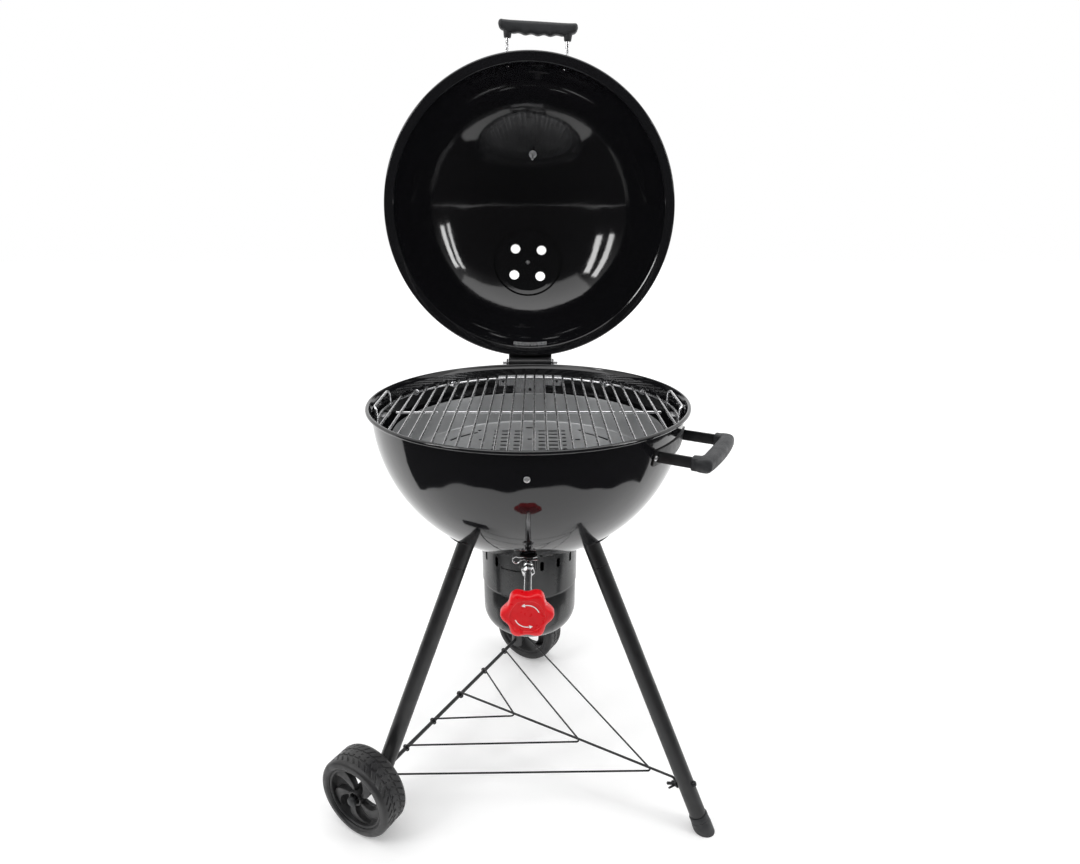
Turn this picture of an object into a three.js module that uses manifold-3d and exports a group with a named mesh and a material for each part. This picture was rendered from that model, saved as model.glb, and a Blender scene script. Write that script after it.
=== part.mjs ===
// Kettle charcoal grill on a tripod with two wheels. Millimetres, +Z up, the floor at z = 0.
// Everything is drawn about the bowl's axis; the last lines move the origin under the whole's middle.
import * as THREE from 'three';
import { mergeVertices } from 'three/addons/utils/BufferGeometryUtils.js';
import Module from 'manifold-3d';

const wasm = await Module();
wasm.setup();

// ---- Driving dimensions -------------------------------------------------------------------------
const GAP = 0.3; // left between pieces that touch
const SHEET = 1.6; // enamelled steel sheet
const FACETS = 36; // round the bowl and the lid
const ARC_STEPS = 8; // from the bowl's or the lid's rim to its middle

const BOWL = {
  radius: 275, depth: 273, equator: 782, mouth: 62, // a half ellipsoid with its ash hole
  bead: 3.5, beadRadius: 281.5, beadZ: 786.5, // rolled edge
};
const LID = { radius: 285.6, height: 206, base: 795, ringZ: 791.4, bead: 4, beadRadius: 301 };
const LID_CLOCKING = 3; // degrees that the lid's fittings sit round from the front
const HINGE = { y: 318, z: 785, pin: 4, bore: 4.3, knuckle: 9, width: 96 };

const GRATE = {
  z: 763, radius: 266, ring: 3, wire: 2.5, pitch: 19.8,
  centreWires: 8, sideWires: 13, // wires each side of the middle: in the centre, and in all
  hingeX: 158.4,
};
const PAN = { floor: 674, top: 735, footRadius: 236, rimRadius: 241.5, sheet: 1.5 };
const LIFT = { z: 557, shaft: 6, bore: 6.3, module: 2, teeth: 12, y: -24, width: 14 };
const KNOB = { radius: 35.5, lobe: 3.5, lobes: 6, back: -314, depth: 21 };

const COLLAR = { radius: 90.5, top: 523.2, bottom: 437, sheet: 1.2 };
const BUCKET = { radius: 88.7, top: 472, bottom: 332, corner: 46, sheet: 1.2 };

const LEG = { radius: 15.5, wall: 1.3, topR: 149, topZ: 495, footR: 374.6, footZ: 9, azimuth: -30 };
const AXLE = { radius: 4, z: 80, offset: 182.2, half: 337, leg: 249 };
const WHEEL = { radius: 80, width: 60, near: 274, rim: 62, hub: 15, bore: 4.3 };
const WIRE = { main: 2.3, side: 1.8 };

// ---- Small helpers ------------------------------------------------------------------------------
const rad = THREE.MathUtils.degToRad;

// A closed geometry becomes a solid: welded, without slivers at the poles, faces turned out.
function solid(geometry) {
  const bare = geometry.index ? geometry.toNonIndexed() : geometry.clone();
  bare.deleteAttribute('normal');
  bare.deleteAttribute('uv');
  const welded = mergeVertices(bare, 1e-4);
  const index = Array.from(welded.index.array);
  const position = welded.attributes.position;
  const triangles = [];
  let volume = 0;
  const [a, b, c] = [new THREE.Vector3(), new THREE.Vector3(), new THREE.Vector3()];
  for (let i = 0; i < index.length; i += 3) {
    const [p, q, r] = index.slice(i, i + 3);
    if (p === q || q === r || r === p) continue;
    triangles.push(p, q, r);
    a.fromBufferAttribute(position, p);
    b.fromBufferAttribute(position, q);
    c.fromBufferAttribute(position, r);
    volume += a.dot(b.cross(c));
  }
  if (volume < 0) triangles.reverse();
  const mesh = new wasm.Mesh({
    numProp: 3,
    vertProperties: Float32Array.from(position.array),
    triVerts: Uint32Array.from(triangles),
  });
  return new wasm.Manifold(mesh);
}

function geometryOf(body) {
  const { vertProperties, triVerts } = body.getMesh();
  const geometry = new THREE.BufferGeometry();
  geometry.setAttribute('position', new THREE.BufferAttribute(vertProperties, 3));
  geometry.setIndex(new THREE.BufferAttribute(triVerts, 1));
  return geometry;
}

const join = (...bodies) => bodies.reduce((whole, body) => whole.add(body));
const cut = (body, ...tools) => tools.reduce((rest, tool) => rest.subtract(tool), body);

// Turned shape: [radius, height] points about +Z. A ring's outline is closed by `ring`.
function lathe(points, facets = FACETS) {
  const profile = points.map(([r, z]) => new THREE.Vector2(r, z));
  return solid(new THREE.LatheGeometry(profile, facets).rotateX(Math.PI / 2));
}

const ring = (points, facets) => lathe([...points, points[0]], facets);

function block(x, y, z, [cx, cy, cz]) {
  return solid(new THREE.BoxGeometry(x, y, z).translate(cx, cy, cz));
}

// Cylinder from one point to another.
function rodGeometry(from, to, radius, sides = 12, endRadius = radius) {
  const a = new THREE.Vector3(...from);
  const b = new THREE.Vector3(...to);
  const turn = new THREE.Quaternion().setFromUnitVectors(
    new THREE.Vector3(0, 1, 0),
    b.clone().sub(a).normalize(),
  );
  return new THREE.CylinderGeometry(endRadius, radius, a.distanceTo(b), sides)
    .applyQuaternion(turn)
    .translate((a.x + b.x) / 2, (a.y + b.y) / 2, (a.z + b.z) / 2);
}

const rod = (...args) => solid(rodGeometry(...args));

// Outline in a plane, pushed out along that plane's normal: 'xy' goes up, 'yz' along +X, 'xz' along -Y.
function prism(points, depth, plane = 'xy', bevel = null) {
  const shape = new THREE.Shape(points.map(([x, y]) => new THREE.Vector2(x, y)));
  const options = { depth, bevelEnabled: Boolean(bevel), ...bevel };
  const geometry = new THREE.ExtrudeGeometry(shape, options);
  if (plane === 'yz') geometry.rotateX(Math.PI / 2).rotateZ(Math.PI / 2);
  if (plane === 'xz') geometry.rotateX(Math.PI / 2);
  return solid(geometry);
}

const arcPoints = (cx, cy, r, from, to, steps) =>
  Array.from({ length: steps + 1 }, (_, i) => {
    const angle = rad(from + ((to - from) * i) / steps);
    return [cx + r * Math.cos(angle), cy + r * Math.sin(angle)];
  });

// A path whose stations are exactly the given points, so a swept wire keeps its straights and bends.
class WirePath extends THREE.Curve {
  constructor(points) {
    super();
    this.points = points.map((p) => new THREE.Vector3(...p));
  }

  getPointAt(u) {
    return this.points[Math.round(u * (this.points.length - 1))].clone();
  }

  getSpacedPoints() {
    return this.points.map((p) => p.clone());
  }

  getTangentAt(u) {
    const last = this.points.length - 1;
    const i = Math.round(u * last);
    return this.points[Math.min(i + 1, last)].clone().sub(this.points[Math.max(i - 1, 0)]).normalize();
  }
}

function wire(points, radius, sides = 6) {
  const section = new THREE.Shape(
    arcPoints(0, 0, radius, 0, 360, sides).slice(0, sides).map(([x, y]) => new THREE.Vector2(x, y)),
  );
  const path = new WirePath(points);
  const options = { steps: points.length - 1, extrudePath: path, bevelEnabled: false };
  return solid(new THREE.ExtrudeGeometry(section, options));
}

// Outlines of the bowl and the lid, grown by `grow`; everything that seats on them shares their facets.
const bowlOutline = (grow = 0) =>
  arcPoints(0, 0, 1, -90, 0, ARC_STEPS + 1).map(([x, y]) => [
    Math.max(0, x * (BOWL.radius + grow)),
    BOWL.equator + y * (BOWL.depth + grow),
  ]);
const lidOutline = (grow = 0) =>
  arcPoints(0, 0, 1, 0, 90, ARC_STEPS).map(([x, y]) => [
    Math.max(0, x * (LID.radius + grow)),
    LID.base + y * (LID.height + grow),
  ]);

function bowlRadiusAt(z, grow = 0) {
  const points = bowlOutline(grow);
  const i = Math.max(1, points.findIndex(([, height]) => height >= z));
  const [[r0, z0], [r1, z1]] = [points[i - 1], points[i]];
  return r0 + ((r1 - r0) * (z - z0)) / (z1 - z0);
}

const TOP_OF_BOWL = 800;
function bowlFilled(grow) {
  return lathe([...bowlOutline(grow), [BOWL.radius + grow, TOP_OF_BOWL], [0, TOP_OF_BOWL]]);
}
const lidFilled = (grow) => lathe([[0, LID.base], ...lidOutline(grow)]);
const bowlSolid = bowlFilled(GAP);
const lidSolid = lidFilled(GAP);

// Sheet that follows the bowl's wall, from `near` to `far` outside it, inside a window.
const wallSheet = (near, far, window) => cut(bowlFilled(far), bowlFilled(near)).intersect(window);

const grill = new THREE.Group();

const FINISH = {
  enamel: { color: 0x08080a, roughness: 0.12, metalness: 0.1 },
  powder: { color: 0x131416, roughness: 0.45, metalness: 0.2 },
  plastic: { color: 0x1c1d1f, roughness: 0.6, metalness: 0 },
  red: { color: 0xd40a12, roughness: 0.35, metalness: 0 },
  chrome: { color: 0xc9cacc, roughness: 0.15, metalness: 1 },
  steel: { color: 0x8b8d90, roughness: 0.4, metalness: 1 },
  ash: { color: 0x3a3b3e, roughness: 0.4, metalness: 0.3 },
};

function piece(name, body, finish, parent = grill) {
  const mesh = new THREE.Mesh(geometryOf(body), new THREE.MeshStandardMaterial(FINISH[finish]));
  mesh.name = name;
  parent.add(mesh);
  return mesh;
}

function groupAt(parent, [x, y, z], { rx = 0, ry = 0, rz = 0 } = {}) {
  const group = new THREE.Group();
  group.position.set(x, y, z);
  group.rotation.set(rad(rx), rad(ry), rad(rz), 'ZYX');
  parent.add(group);
  return group;
}

// Group whose +Z points along a direction.
function groupAlong(parent, [x, y, z], direction) {
  const group = new THREE.Group();
  group.position.set(x, y, z);
  const aim = new THREE.Vector3(...direction).normalize();
  group.quaternion.setFromUnitVectors(new THREE.Vector3(0, 0, 1), aim);
  parent.add(group);
  return group;
}

// Round head with its flat underside at z = 0.
const buttonHead = (radius, height) =>
  lathe([[0, 0], [radius, 0], [radius, height * 0.35], [radius * 0.6, height], [0, height]], 12);

// ---- Bowl ---------------------------------------------------------------------------------------
function bowlBody() {
  const { mouth, bead, beadRadius, beadZ } = BOWL;
  const inner = bowlOutline(-SHEET).reverse();
  const rolled = arcPoints(beadRadius, beadZ, bead, -110, 180, 4);
  const shell = lathe([...bowlOutline(), ...rolled, ...inner]);
  const entry = bowlRadiusAt(LIFT.z);
  const shaftHole = rod([0, -entry - 25, LIFT.z], [0, -entry + 25, LIFT.z], 9, 12);
  return cut(shell, shaftHole, rod([0, 0, 490], [0, 0, 560], mouth, 28));
}

function addBowl() {
  piece('bowl', bowlBody(), 'enamel');

  // Shelves that the cooking grate rests on, with their screws through the wall.
  const SHELF_TOP = GRATE.z - GRATE.ring - 0.5;
  const PLATE_LOW = 735;
  const SCREW_Z = 743;
  const shelf = join(
    block(1.6, 28, SHELF_TOP - PLATE_LOW, [266.8, 0, (SHELF_TOP + PLATE_LOW) / 2]),
    block(18, 28, 1.8, [259, 0, SHELF_TOP - 0.9]),
  );
  const slope = THREE.MathUtils.radToDeg(
    Math.atan2(bowlRadiusAt(SCREW_Z + 3) - bowlRadiusAt(SCREW_Z - 3), 6),
  );
  for (const [side, azimuth] of [['front', -90], ['left', 180], ['right', 0]]) {
    const place = groupAt(grill, [0, 0, 0], { rz: azimuth });
    piece(`grate_shelf_${side}`, shelf, 'steel', place);
    const seat = groupAt(place, [bowlRadiusAt(SCREW_Z, 0.5), 0, SCREW_Z], { ry: 90 + slope });
    piece(`shelf_screw_${side}`, buttonHead(5, 3), 'steel', seat);
  }
}

// ---- Lid hinge ----------------------------------------------------------------------------------
function addBowlHinge() {
  const EAR = 3;
  const EAR_X = HINGE.width / 2 + 1;
  const outline = [
    [250, 744], [262, 736], [292, 752], [322, 774],
    ...arcPoints(HINGE.y, HINGE.z, 9, -60, 150, 7),
    [296, 780.5], [250, 780.5],
  ];
  const ear = prism(outline, EAR, 'yz');
  const plate = wallSheet(0, GAP + 2.2, block(2 * (EAR_X + EAR), 60, 38, [0, 270, 757]));
  const pinHole = rod([-80, HINGE.y, HINGE.z], [80, HINGE.y, HINGE.z], HINGE.bore, 16);
  const bracket = join(plate, ear.translate([EAR_X, 0, 0]), ear.translate([-EAR_X - EAR, 0, 0]));
  piece('hinge_bowl_bracket', cut(bracket, bowlSolid, pinHole), 'powder');

  // T-shaped plate inside the bowl that the bracket's screws pull against.
  const TAB = 137;
  const STEM = 65;
  const tee = [
    [-TAB / 2, 768], [-TAB / 2, 746], [-STEM / 2, 746], [-STEM / 2, 732], [-STEM / 2 + 6, 726],
    [STEM / 2 - 6, 726], [STEM / 2, 732], [STEM / 2, 746], [TAB / 2, 746], [TAB / 2, 768],
  ];
  const notch = prism([[-4, 758], [4, 758], [0, 751]], 90, 'xz').translate([0, 300, 0]);
  const holes = join(
    rod([0, 240, 736], [0, 300, 736], 4, 8),
    notch.translate([58, 0, 0]),
    notch.translate([-58, 0, 0]),
  );
  const teePrism = prism(tee, 90, 'xz').translate([0, 300, 0]);
  const inner = wallSheet(-SHEET - GAP - 1.5, -SHEET - GAP, teePrism);
  piece('hinge_inner_plate', cut(inner, holes), 'steel');
  piece('hinge_pin', rod([-61.5, HINGE.y, HINGE.z], [61.5, HINGE.y, HINGE.z], HINGE.pin, 16), 'chrome');
}

// ---- Lid, drawn closed and then swung open about the hinge pin ----------------------------------
// A frame on the dome: radius from the lid's axis, with +Z along the dome's outward normal.
function domePlace(parent, radius) {
  const rise = LID.height * Math.sqrt(1 - (radius / LID.radius) ** 2);
  const tilt = THREE.MathUtils.radToDeg(Math.atan2(radius / LID.radius ** 2, rise / LID.height ** 2));
  const z = LID.base + rise;
  return { group: groupAt(parent, [0, radius, z], { rx: -tilt }), tilt, z };
}

const VENT = { r: 117, plate: 79, holes: 44, hole: 11.5, disc: 70, rivet: 3 };
const DIAL = { r: 128.5, radius: 30, height: 20, stem: 4.7 };
const VENT_SINK = 8.4; // the vent's plate is this far below the dome's crown there

function ventHoles(radius) {
  return [45, 135, 225, 315].map((angle) => {
    const [x, y] = [VENT.holes * Math.cos(rad(angle)), VENT.holes * Math.sin(rad(angle))];
    return rod([x, y, -30], [x, y, 30], radius, 12);
  });
}

function lidBody(vent, dial) {
  const { radius, base, ringZ, bead, beadRadius } = LID;
  const outer = lidOutline().reverse();
  const inner = lidOutline(-SHEET);
  const rolled = arcPoints(beadRadius, base, bead, 180, -110, 4);
  const shell = lathe([
    ...outer, [radius + 1.5, ringZ + SHEET], [beadRadius - 4, ringZ + SHEET], ...rolled,
    [beadRadius - 4, ringZ], [radius - SHEET, ringZ], ...inner,
  ]);

  // The vent's flat plate is pressed into the dome.
  const well = ring([
    [VENT.plate - SHEET, -3], [VENT.plate, -3], [VENT.plate, 3.5], [VENT.plate - SHEET, 3.5],
  ], 28);
  const plate = lathe([[0, 0], [VENT.plate - 0.5, 0], [VENT.plate - 0.5, SHEET], [0, SHEET]], 28);
  const drill = join(...ventHoles(VENT.hole), rod([0, 0, -30], [0, 0, 30], VENT.rivet + GAP, 12));
  const punch = lathe([[0, -30], [VENT.plate - 0.8, -30], [VENT.plate - 0.8, 30], [0, 30]], 28);
  const place = (body, frame) => {
    frame.group.updateMatrix();
    return body.transform(frame.group.matrix.toArray());
  };
  const flat = cut(join(well, plate), drill).translate([0, 0, -VENT_SINK]);
  const stemHole = rod([0, 0, -30], [0, 0, 30], DIAL.stem + GAP, 12);
  return cut(join(cut(shell, place(punch, vent)), place(flat, vent)), place(stemHole, dial));
}

function addVent(group) {
  const TOP = -VENT_SINK + SHEET;
  const THICK = 1.2;
  const disc = lathe([[0, 0], [VENT.disc, 0], [VENT.disc, THICK], [0, THICK]], 28);
  const TAB = { y: VENT.disc - 12, height: 16, foot: 14 };
  const tab = join(
    block(16, 3, TAB.height, [0, TAB.y, THICK + 7.9]),
    block(24, TAB.foot, 1.6, [0, TAB.y, THICK]),
  );
  const rivetHole = rod([0, 0, -5], [0, 0, 5], VENT.rivet + GAP, 12);
  const blade = cut(join(disc, tab), ...ventHoles(VENT.hole + 0.5), rivetHole);
  piece('vent_damper', blade.translate([0, 0, TOP + GAP]), 'chrome', group);
  const rivet = join(
    rod([0, 0, TOP - SHEET - GAP - 0.2], [0, 0, TOP + THICK + 2 * GAP + 0.2], VENT.rivet, 12),
    buttonHead(6.5, 3).translate([0, 0, TOP + THICK + 2 * GAP]),
    buttonHead(5, 2.2).rotate([180, 0, 0]).translate([0, 0, TOP - SHEET - GAP]),
  );
  piece('vent_rivet', rivet, 'steel', group);
}

function addThermometer(group) {
  const { radius, height, stem } = DIAL;
  const BASE = 1.9; // clears the dome's crown under the flat back
  const RECESS = 4;
  const cup = lathe([
    [0, BASE], [18, BASE], [radius, BASE + 7], [radius, BASE + height], [radius - 3, BASE + height],
    [radius - 3, BASE + height - RECESS], [0, BASE + height - RECESS],
  ], 24);
  const probe = join(
    rod([0, 0, BASE + 1], [0, 0, -14], stem, 12),
    rod([0, 0, -13], [0, 0, -42], 2.5, 8),
  );
  const spindle = rod([0, 0, BASE + height - RECESS - 1], [0, 0, BASE + height - RECESS + 0.8], 1.4, 8);
  piece('thermometer_case', join(cup, probe, spindle), 'chrome', group);
  const needle = join(
    prism([[-1.6, -7], [1.6, -7], [0.7, radius - 8], [-0.7, radius - 8]], 0.8),
    rod([0, 0, 0], [0, 0, 0.8], 3.4, 12),
  );
  piece('thermometer_needle', cut(needle, rod([0, 0, -1], [0, 0, 2], 1.7, 8))
    .translate([0, 0, BASE + height - RECESS + GAP]), 'red', group);
  const nut = cut(
    join(rod([0, 0, -10.2], [0, 0, -5], 8, 6), rod([0, 0, -5.6], [0, 0, -4], 8.8, 16)),
    rod([0, 0, -20], [0, 0, 0], stem + GAP, 12),
  );
  piece('thermometer_nut', nut, 'steel', group);
}

const LID_HANDLE = { z: 822, post: 3.5, postX: 60, grip: 349, half: 79 };

function addLidHandle(group) {
  const { z, post, postX, grip, half } = LID_HANDLE;
  for (const [side, x] of [['left', -postX], ['right', postX]]) {
    const stud = join(
      rod([x, -255, z], [x, -grip + 4, z], post, 12),
      rod([x, -255, z], [x, -283, z], 8, 16),
    );
    piece(`lid_handle_post_${side}`, cut(stud, lidSolid), 'chrome', group);
  }
  // Moulded grip: a gently arched back, four finger waves, and a socket at each post.
  const WAVES = 4;
  const back = Array.from({ length: 7 }, (_, i) => {
    const t = -1 + i / 3;
    return [t * (half - 4), -(grip + 14) + 5 * t ** 4];
  });
  const waves = Array.from({ length: 17 }, (_, i) => {
    const t = 1 - i / 8;
    return [t * 50, -(grip - 9) + 3 * Math.cos(t * WAVES * Math.PI)];
  });
  const outline = [...back, [half, -(grip - 1)], [half - 5, -(grip - 13)], [54, -(grip - 14)], ...waves,
    [-54, -(grip - 14)], [-half + 5, -(grip - 13)], [-half, -(grip - 1)]];
  const bevel = { bevelThickness: 4, bevelSize: 3, bevelOffset: -3, bevelSegments: 1 };
  const bar = prism(outline, 18, 'xy', bevel).translate([0, 0, z - 9]);
  const ends = [-postX, postX];
  const sockets = ends.map((x) => rod([x, -grip + 8, z], [x, -grip + 22, z], 8, 12, 6.6));
  const bores = ends.map((x) => rod([x, -grip + 3.6, z], [x, -grip + 30, z], post + GAP, 12));
  piece('lid_handle_grip', cut(join(bar, ...sockets), ...bores), 'plastic', group);
}

function addLid() {
  const swing = groupAt(grill, [0, HINGE.y, HINGE.z], { rx: -90 });
  const closed = groupAt(swing, [0, -HINGE.y, -HINGE.z]);
  const fittings = groupAt(closed, [0, 0, 0], { rz: LID_CLOCKING });

  const vent = domePlace(fittings, VENT.r);
  const front = groupAt(fittings, [0, 0, 0], { rz: 180 });
  const dial = domePlace(front, DIAL.r);
  const turned = new THREE.Group();
  turned.position.set(0, -DIAL.r, dial.z);
  turned.rotation.set(rad(dial.tilt), 0, 0);
  piece('lid', lidBody(vent, { group: turned }), 'enamel', fittings);
  addVent(vent.group);
  addThermometer(dial.group);
  addLidHandle(fittings);

  // Knuckle round the pin, and a leaf that climbs past the rim to lie on the dome.
  const leaf = [
    [309.3, 783], [309.3, 805.5], [268, 830], [264, 852],
    [277.5, 852], [284.5, 829.5], [312.3, 809.5], [312.3, 783],
  ];
  const half = HINGE.width / 2;
  const turnedLid = lidSolid.rotate([0, 0, LID_CLOCKING]);
  const strap = cut(prism(leaf, HINGE.width, 'yz').translate([-half, 0, 0]), turnedLid);
  const knuckle = rod([-half, HINGE.y, HINGE.z], [half, HINGE.y, HINGE.z], HINGE.knuckle, 20);
  const bore = rod([-80, HINGE.y, HINGE.z], [80, HINGE.y, HINGE.z], HINGE.bore, 16);
  piece('hinge_lid_bracket', cut(join(strap, knuckle), bore), 'powder', closed);

  const PLATE = { half: 37.5, low: 803, high: 823, thick: 1.5 };
  const middle = (PLATE.low + PLATE.high) / 2;
  const inside = (shrink) => lidFilled(-SHEET - shrink).rotate([0, 0, LID_CLOCKING]);
  const window = block(2 * PLATE.half, 60, PLATE.high - PLATE.low, [0, 270, middle]);
  const skin = cut(inside(GAP), inside(GAP + PLATE.thick)).intersect(window);
  const heads = [-30, -20, 20, 30].map((x) => {
    const curve = (x * x) / 560; // the wall falls back from the middle by this much
    return rod([x, 281.2 - curve, middle], [x, 277.4 - curve, middle], 3, 8).intersect(inside(GAP));
  });
  piece('hinge_lid_inner_plate', join(skin, ...heads), 'steel', closed);
}

// ---- Cooking grate: a centre and two flaps ------------------------------------------------------
const ringX = (y) => Math.sqrt(GRATE.radius ** 2 - y ** 2);

function grateArc(fromX, toX, side, steps) {
  return Array.from({ length: steps + 1 }, (_, i) => {
    const x = fromX + ((toX - fromX) * i) / steps;
    return [x, side * ringX(x), GRATE.z];
  });
}

function grateWire(x) {
  const half = ringX(Math.abs(x)) + 2;
  return rod([x, -half, GRATE.z + 4.5], [x, half, GRATE.z + 4.5], GRATE.wire, 5);
}

function addGrate() {
  const { z, ring: rim, wire: thin, pitch, centreWires, sideWires, hingeX } = GRATE;
  const EYE = { y: 208, radius: 5, wire: 2 };
  const ARC_END = 150;
  const PIN = 2.4;
  const places = Array.from({ length: sideWires }, (_, i) => (i + 0.5) * pitch);
  const eye = solid(new THREE.TorusGeometry(EYE.radius, EYE.wire, 5, 9).rotateX(Math.PI / 2));
  const centre = [-1, 1].flatMap((side) => [
    wire(grateArc(-ARC_END, ARC_END, side, 12), rim),
    ...[-1, 1].flatMap((hand) => {
      const arcEnd = [hand * (ARC_END - 3), side * (ringX(ARC_END) + 0.6), z];
      const eyeEdge = [hand * (hingeX - EYE.radius), side * EYE.y, z];
      return [eye.translate([hand * hingeX, side * EYE.y, z]), rod(arcEnd, eyeEdge, 2.2, 6)];
    }),
  ]);
  const wires = places.slice(0, centreWires).flatMap((x) => [grateWire(x), grateWire(-x)]);
  const cross = rod([-155, 0, z], [155, 0, z], thin, 5);
  piece('grate_centre', join(...centre, ...wires, cross), 'chrome');

  // Each flap turns on two pins that sit in the centre's eyes.
  const START = 172;
  const PIN_IN = 196;
  const edge = ringX(START);
  const sweep = THREE.MathUtils.radToDeg(Math.asin(edge / GRATE.radius));
  const arc = arcPoints(0, 0, GRATE.radius, -sweep, sweep, 10).map(([x, y]) => [x, y, z]);
  const HANDLE = { half: 56, top: 788, x: 264, low: 759 };
  const loop = wire([
    [259.5, -HANDLE.half, HANDLE.low], [260.5, -HANDLE.half, 780], [263, -HANDLE.half + 3, HANDLE.top],
    [HANDLE.x, -HANDLE.half + 9, HANDLE.top + 1], [HANDLE.x, HANDLE.half - 9, HANDLE.top + 1],
    [263, HANDLE.half - 3, HANDLE.top], [260.5, HANDLE.half, 780], [259.5, HANDLE.half, HANDLE.low],
  ], thin);
  const pins = [-1, 1].flatMap((side) => [
    rod([hingeX, side * PIN_IN, z], [hingeX, side * 214, z], PIN, 8),
    rod([hingeX, side * (PIN_IN + 3), z], [START + 1.5, side * (edge - 0.6), z], PIN, 6),
  ]);
  const bars = places.slice(centreWires).map((x) => grateWire(x));
  const tie = rod([places[centreWires] - 6, 0, z], [239, 0, z], thin, 5);
  const flap = join(wire(arc, rim), loop, ...pins, ...bars, tie);
  for (const [side, turn] of [['right', 0], ['left', 180]]) {
    piece(`grate_flap_${side}`, flap, 'chrome', groupAt(grill, [0, 0, 0], { rz: turn }));
  }
}

// ---- Charcoal pan and the lift under it ---------------------------------------------------------
function panSlots() {
  const ROW = 22.2;
  const ROWS = 8;
  const SLOT = 8;
  const columns = [[24.5, 13], [47.5, 19]];
  const hole = (x, y, w, h) => block(w, h, 10, [x, y, PAN.floor]);
  const tools = [];
  for (const side of [-1, 1]) {
    for (let row = 0; row < ROWS; row += 1) {
      const y = side * (row + 0.5) * ROW;
      for (const [x, length] of columns) {
        tools.push(hole(x, y, length, SLOT), hole(-x, y, length, SLOT));
      }
    }
    tools.push(hole(0, side * (ROWS + 0.5) * ROW, 16, SLOT));
    tools.push(hole(0, side * 114, SLOT, SLOT));
    tools.push(hole(96, side * 111, 10, SLOT), hole(-96, side * 111, 10, SLOT));
    for (const hand of [-1, 1]) {
      const middle = side * (90 - hand * 45);
      const band = [
        ...arcPoints(0, 0, 187, middle - 11, middle + 11, 4),
        ...arcPoints(0, 0, 194, middle + 11, middle - 11, 4),
      ];
      tools.push(prism(band, 10).translate([0, 0, PAN.floor - 5]));
      const [x, y] = [hand * 104, side * 170];
      tools.push(prism([[x - 6, y + 5], [x + 6, y + 5], [x, y - 6]], 10).translate([0, 0, PAN.floor - 5]));
    }
  }
  return tools;
}

function panBody() {
  const { floor, top, footRadius, rimRadius, sheet } = PAN;
  const tray = lathe([
    [0, floor - sheet], [footRadius - 3.5, floor - sheet], [footRadius, floor + 2],
    [rimRadius, top - 4], [rimRadius + 3, top - 2.5], [rimRadius + 3, top],
    [rimRadius - 0.5, top], [rimRadius - 1.6, top - 3.5],
    [footRadius - sheet, floor + 3], [footRadius - 4, floor], [0, floor],
  ]);
  return cut(tray, ...panSlots());
}

// Involute tooth flanks at a few radii; half of the tooth's angle at each radius.
function pinionOutline() {
  const { module, teeth } = LIFT;
  const PRESSURE = rad(20);
  const BACKLASH = 0.35;
  const pitch = (module * teeth) / 2;
  const base = pitch * Math.cos(PRESSURE);
  const involute = (angle) => Math.tan(angle) - angle;
  const thickness = (Math.PI * module) / 2 - BACKLASH;
  const halfAngle = (r) =>
    thickness / (2 * pitch) + involute(PRESSURE) - involute(Math.acos(Math.min(1, base / r)));
  const radii = [pitch - 1.8, base, pitch + 0.5, pitch + module];
  return Array.from({ length: teeth }, (_, tooth) => {
    const centre = (tooth * 2 * Math.PI) / teeth;
    const flank = (sign) => radii.map((r) => [r, centre + sign * halfAngle(r)]);
    return [...flank(-1), ...flank(1).reverse()];
  }).flat().map(([r, angle]) => [r * Math.cos(angle), r * Math.sin(angle)]);
}

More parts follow.
